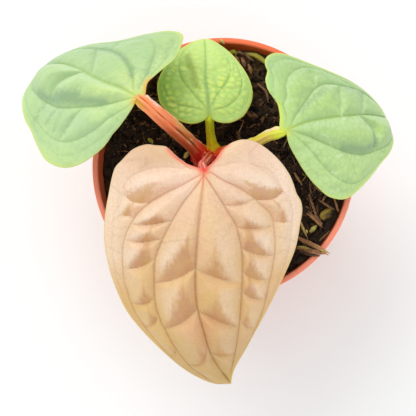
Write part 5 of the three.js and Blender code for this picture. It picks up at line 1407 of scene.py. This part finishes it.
STRAWS = [
    ([(34.6, -10.6, 84.6), (35.6, -13.8, 85.9), (36.6, -17.4, 86.8), (37.8, -20.6, 86.9), (40.6, -23.8, 85.6)],
     [(0, 0.3), (0.3, 0.55), (0.6, 0.4), (0.8, 0.6), (1, 0.2)], 0.5, 0.42),
    ([(33.6, -18.4, 85), (35.8, -20, 86.2), (38.2, -22.2, 86.6), (41.2, -25.2, 85.4)],
     [(0, 0.2), (0.3, 0.6), (0.7, 0.75), (1, 0.2)], 0.45, 0.64),
    ([(34.2, -17.6, 84.8), (37, -20.2, 86.4), (40, -23.6, 86), (41.6, -24.4, 85.4)], (0.2, 0.4, 0.2), 0.6, 0.5),
    ([(38.4, -12.6, 84.6), (41.4, -15, 86.2), (45.5, -17.6, 86.6)], (0.25, 0.5, 0.2), 0.5, 0.5),
    ([(42.2, -10.2, 85), (40.6, -12.4, 86), (39.6, -14, 85.2)], (0.2, 0.4, 0.2), 0.5, 0.44),
    ([(44.6, -12.2, 86), (45.5, -15.6, 87.6), (46.6, -19.6, 88)], (0.25, 0.42, 0.2), 0.5, 0.72),
    ([(31.1, -21.6, 84.8), (32.2, -24.8, 86), (34, -28.8, 84.8)], [(0, 0.3), (0.4, 0.5), (1, 0.2)], 0.5, 0.9),
    ([(34.9, -26, 84.9), (36.2, -24.6, 85.7), (37.6, -23.4, 85)], (0.5, 0.9, 0.4), 0.6, 1.05),
    ([(32.9, -26.3, 84.9), (33.9, -25.2, 85.4)], (0.5, 0.8, 0.4), 0.6, 1.0),
    ([(37.2, -31.2, 86.4), (39.8, -28.4, 88.6), (42.3, -26, 89.4)], (0.2, 0.35, 0.15), 0.6, 0.55),
    ([(28.8, -1.8, 84.6), (30.4, -4.7, 85.9), (31.9, -6.8, 84.6)], (0.3, 0.5, 0.3), 0.5, 0.55),
    ([(44.8, -23, 86.6), (45.6, -21.4, 87.4), (46.8, -19.6, 88)], (0.3, 0.5, 0.2), 0.5, 0.2),
    ([(36, -6, 84.8), (39.6, -9.4, 85.6), (42.6, -8.6, 85)], (0.2, 0.4, 0.2), 0.5, 0.4),
    ([(14, 35, 84.6), (17.4, 31.6, 85.4), (18.4, 27, 84.8)], (0.3, 0.5, 0.2), 0.5, 0.42),
    ([(7.4, 45.6, 86), (8.3, 43.9, 86.6), (8.8, 41.9, 85.4)], (0.4, 0.8, 0.4), 0.5, 0.5),
    ([(10.2, 43, 85), (11, 41.2, 85.8), (11.3, 39.2, 84.8)], (0.3, 0.7, 0.3), 0.5, 0.56),
    ([(4.6, 46.6, 86.6), (5.6, 45, 87), (6.6, 43.2, 86)], (0.3, 0.6, 0.3), 0.5, 0.6),
    ([(8.8, 47.2, 88), (10.4, 45.4, 87.4), (12.6, 44, 86.4)], (0.3, 0.5, 0.3), 0.5, 0.36),
    ([(5.2, 47.6, 88), (6.8, 47.2, 88.6), (8.4, 46.4, 88)], (0.3, 0.6, 0.3), 0.6, 0.3),
    ([(1.2, 47.6, 87), (2.4, 47, 87.8), (3.6, 46, 87)], (0.4, 1, 0.4), 0.7, 1.25),
    ([(2.8, 47.8, 87.6), (4.4, 47.4, 88.4), (5.4, 46.4, 87.4)], (0.4, 0.9, 0.4), 0.7, 1.3),
    ([(3, 45.6, 86), (4, 44.6, 86.6), (4.4, 43.4, 85.8)], (0.4, 0.8, 0.4), 0.7, 1.2),
    ([(-1.3, 51.5, 92.2), (-0.6, 51, 92.4), (0.4, 49.9, 91.6)], (0.3, 0.5, 0.3), 0.6, 1.08),
    ([(-15.8, 4.4, 84.4), (-15, 5.6, 85.1), (-14.6, 6.8, 84.7)], (0.5, 1, 0.4), 0.7, 0.98),
    ([(-30.6, 12.4, 84.2), (-29.6, 11.6, 84.8), (-28.8, 10.6, 84.2)], (0.4, 0.8, 0.4), 0.7, 1.25),
]
straws = dry_strips("loose_straws", STRAWS, twig_bark)
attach(straws, "root")

STUB_POINTS_MM = [(9.3, 47, 87), (13.3, 45.9, 87.8), (17.3, 43.4, 87)]
STUB_WIDTHS_MM = [(0, 0.4), (0.12, 0.7), (0.5, 1.05), (0.95, 1), (1, 0.7)]
STUB_RIBS = [(0.5, 0.1, 0.3, 0.4), (-0.6, 0.1, 0.3, 0.4), (2.4, 0.1, 0.3, 0)]
stub_skin = flesh_material("stub_skin", (150, 120, 60), (156, 156, 30), (180, 168, 80), (196, 192, 90),
                           (110, 100, 20), 0.6)
points, faces, values, _ = ribbed_stalk(STUB_POINTS_MM, STUB_WIDTHS_MM, 0.9, STUB_RIBS,
                                        SMALL_STALK_STEPS, SMALL_STALK_SIDES, depth=0.2)
stub = new_piece("cut_stalk", points * MM, faces, stub_skin, values,
                 np.stack([points[:, 1] / 6, values["along"]], -1))
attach(stub, "root")
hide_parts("stub")

HUSK_HALF_MM = np.array([3.7, 2.2, 1.6])
HUSK_SHIFT_MM = np.array([0.7, -0.6, 0.4])
HUSK_TILT, HUSK_TURN = 0.2, 0.45
HUSK_STEPS, HUSK_SIDES = 40, 56
husk_low, husk_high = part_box("seed")
husk_centre = np.array((husk_low + husk_high) / 2) + HUSK_SHIFT_MM * MM
ring_angle = np.linspace(0, np.pi, HUSK_STEPS)[1:-1]
grid = turned(np.stack([np.sin(ring_angle), -np.cos(ring_angle)], -1), HUSK_SIDES)
points, faces = closed_body(grid, (0, 0, -1), (0, 0, 1))
points = points[:, [2, 0, 1]]
wrinkles = 1 + 0.05 * np.sin(9 * np.arctan2(points[:, 2], points[:, 1])) * (1 - points[:, 0] ** 2)
points = points * HUSK_HALF_MM * wrinkles[:, None]
lean = np.array([[np.cos(HUSK_TILT), 0, np.sin(HUSK_TILT)], [0, 1, 0], [-np.sin(HUSK_TILT), 0, np.cos(HUSK_TILT)]])
spin = np.array([[np.cos(HUSK_TURN), -np.sin(HUSK_TURN), 0], [np.sin(HUSK_TURN), np.cos(HUSK_TURN), 0], [0, 0, 1]])
pale_stripe = np.exp(-((points[:, 1] / HUSK_HALF_MM[1] - 0.6) / 0.35) ** 2)
husk_skin = toned_material("husk_skin", [(0, (84, 64, 40)), (0.35, (112, 90, 44)), (0.6, (150, 126, 52)),
                                         (1, (180, 158, 70))], 0.6, 500)
husk = new_piece("oval_husk", points @ lean.T @ spin.T * MM + husk_centre, faces, husk_skin,
                 {"tone": 0.32 + 0.6 * pale_stripe - 0.2 * points[:, 0] / HUSK_HALF_MM[0]})
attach(husk, "root")
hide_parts("seed")
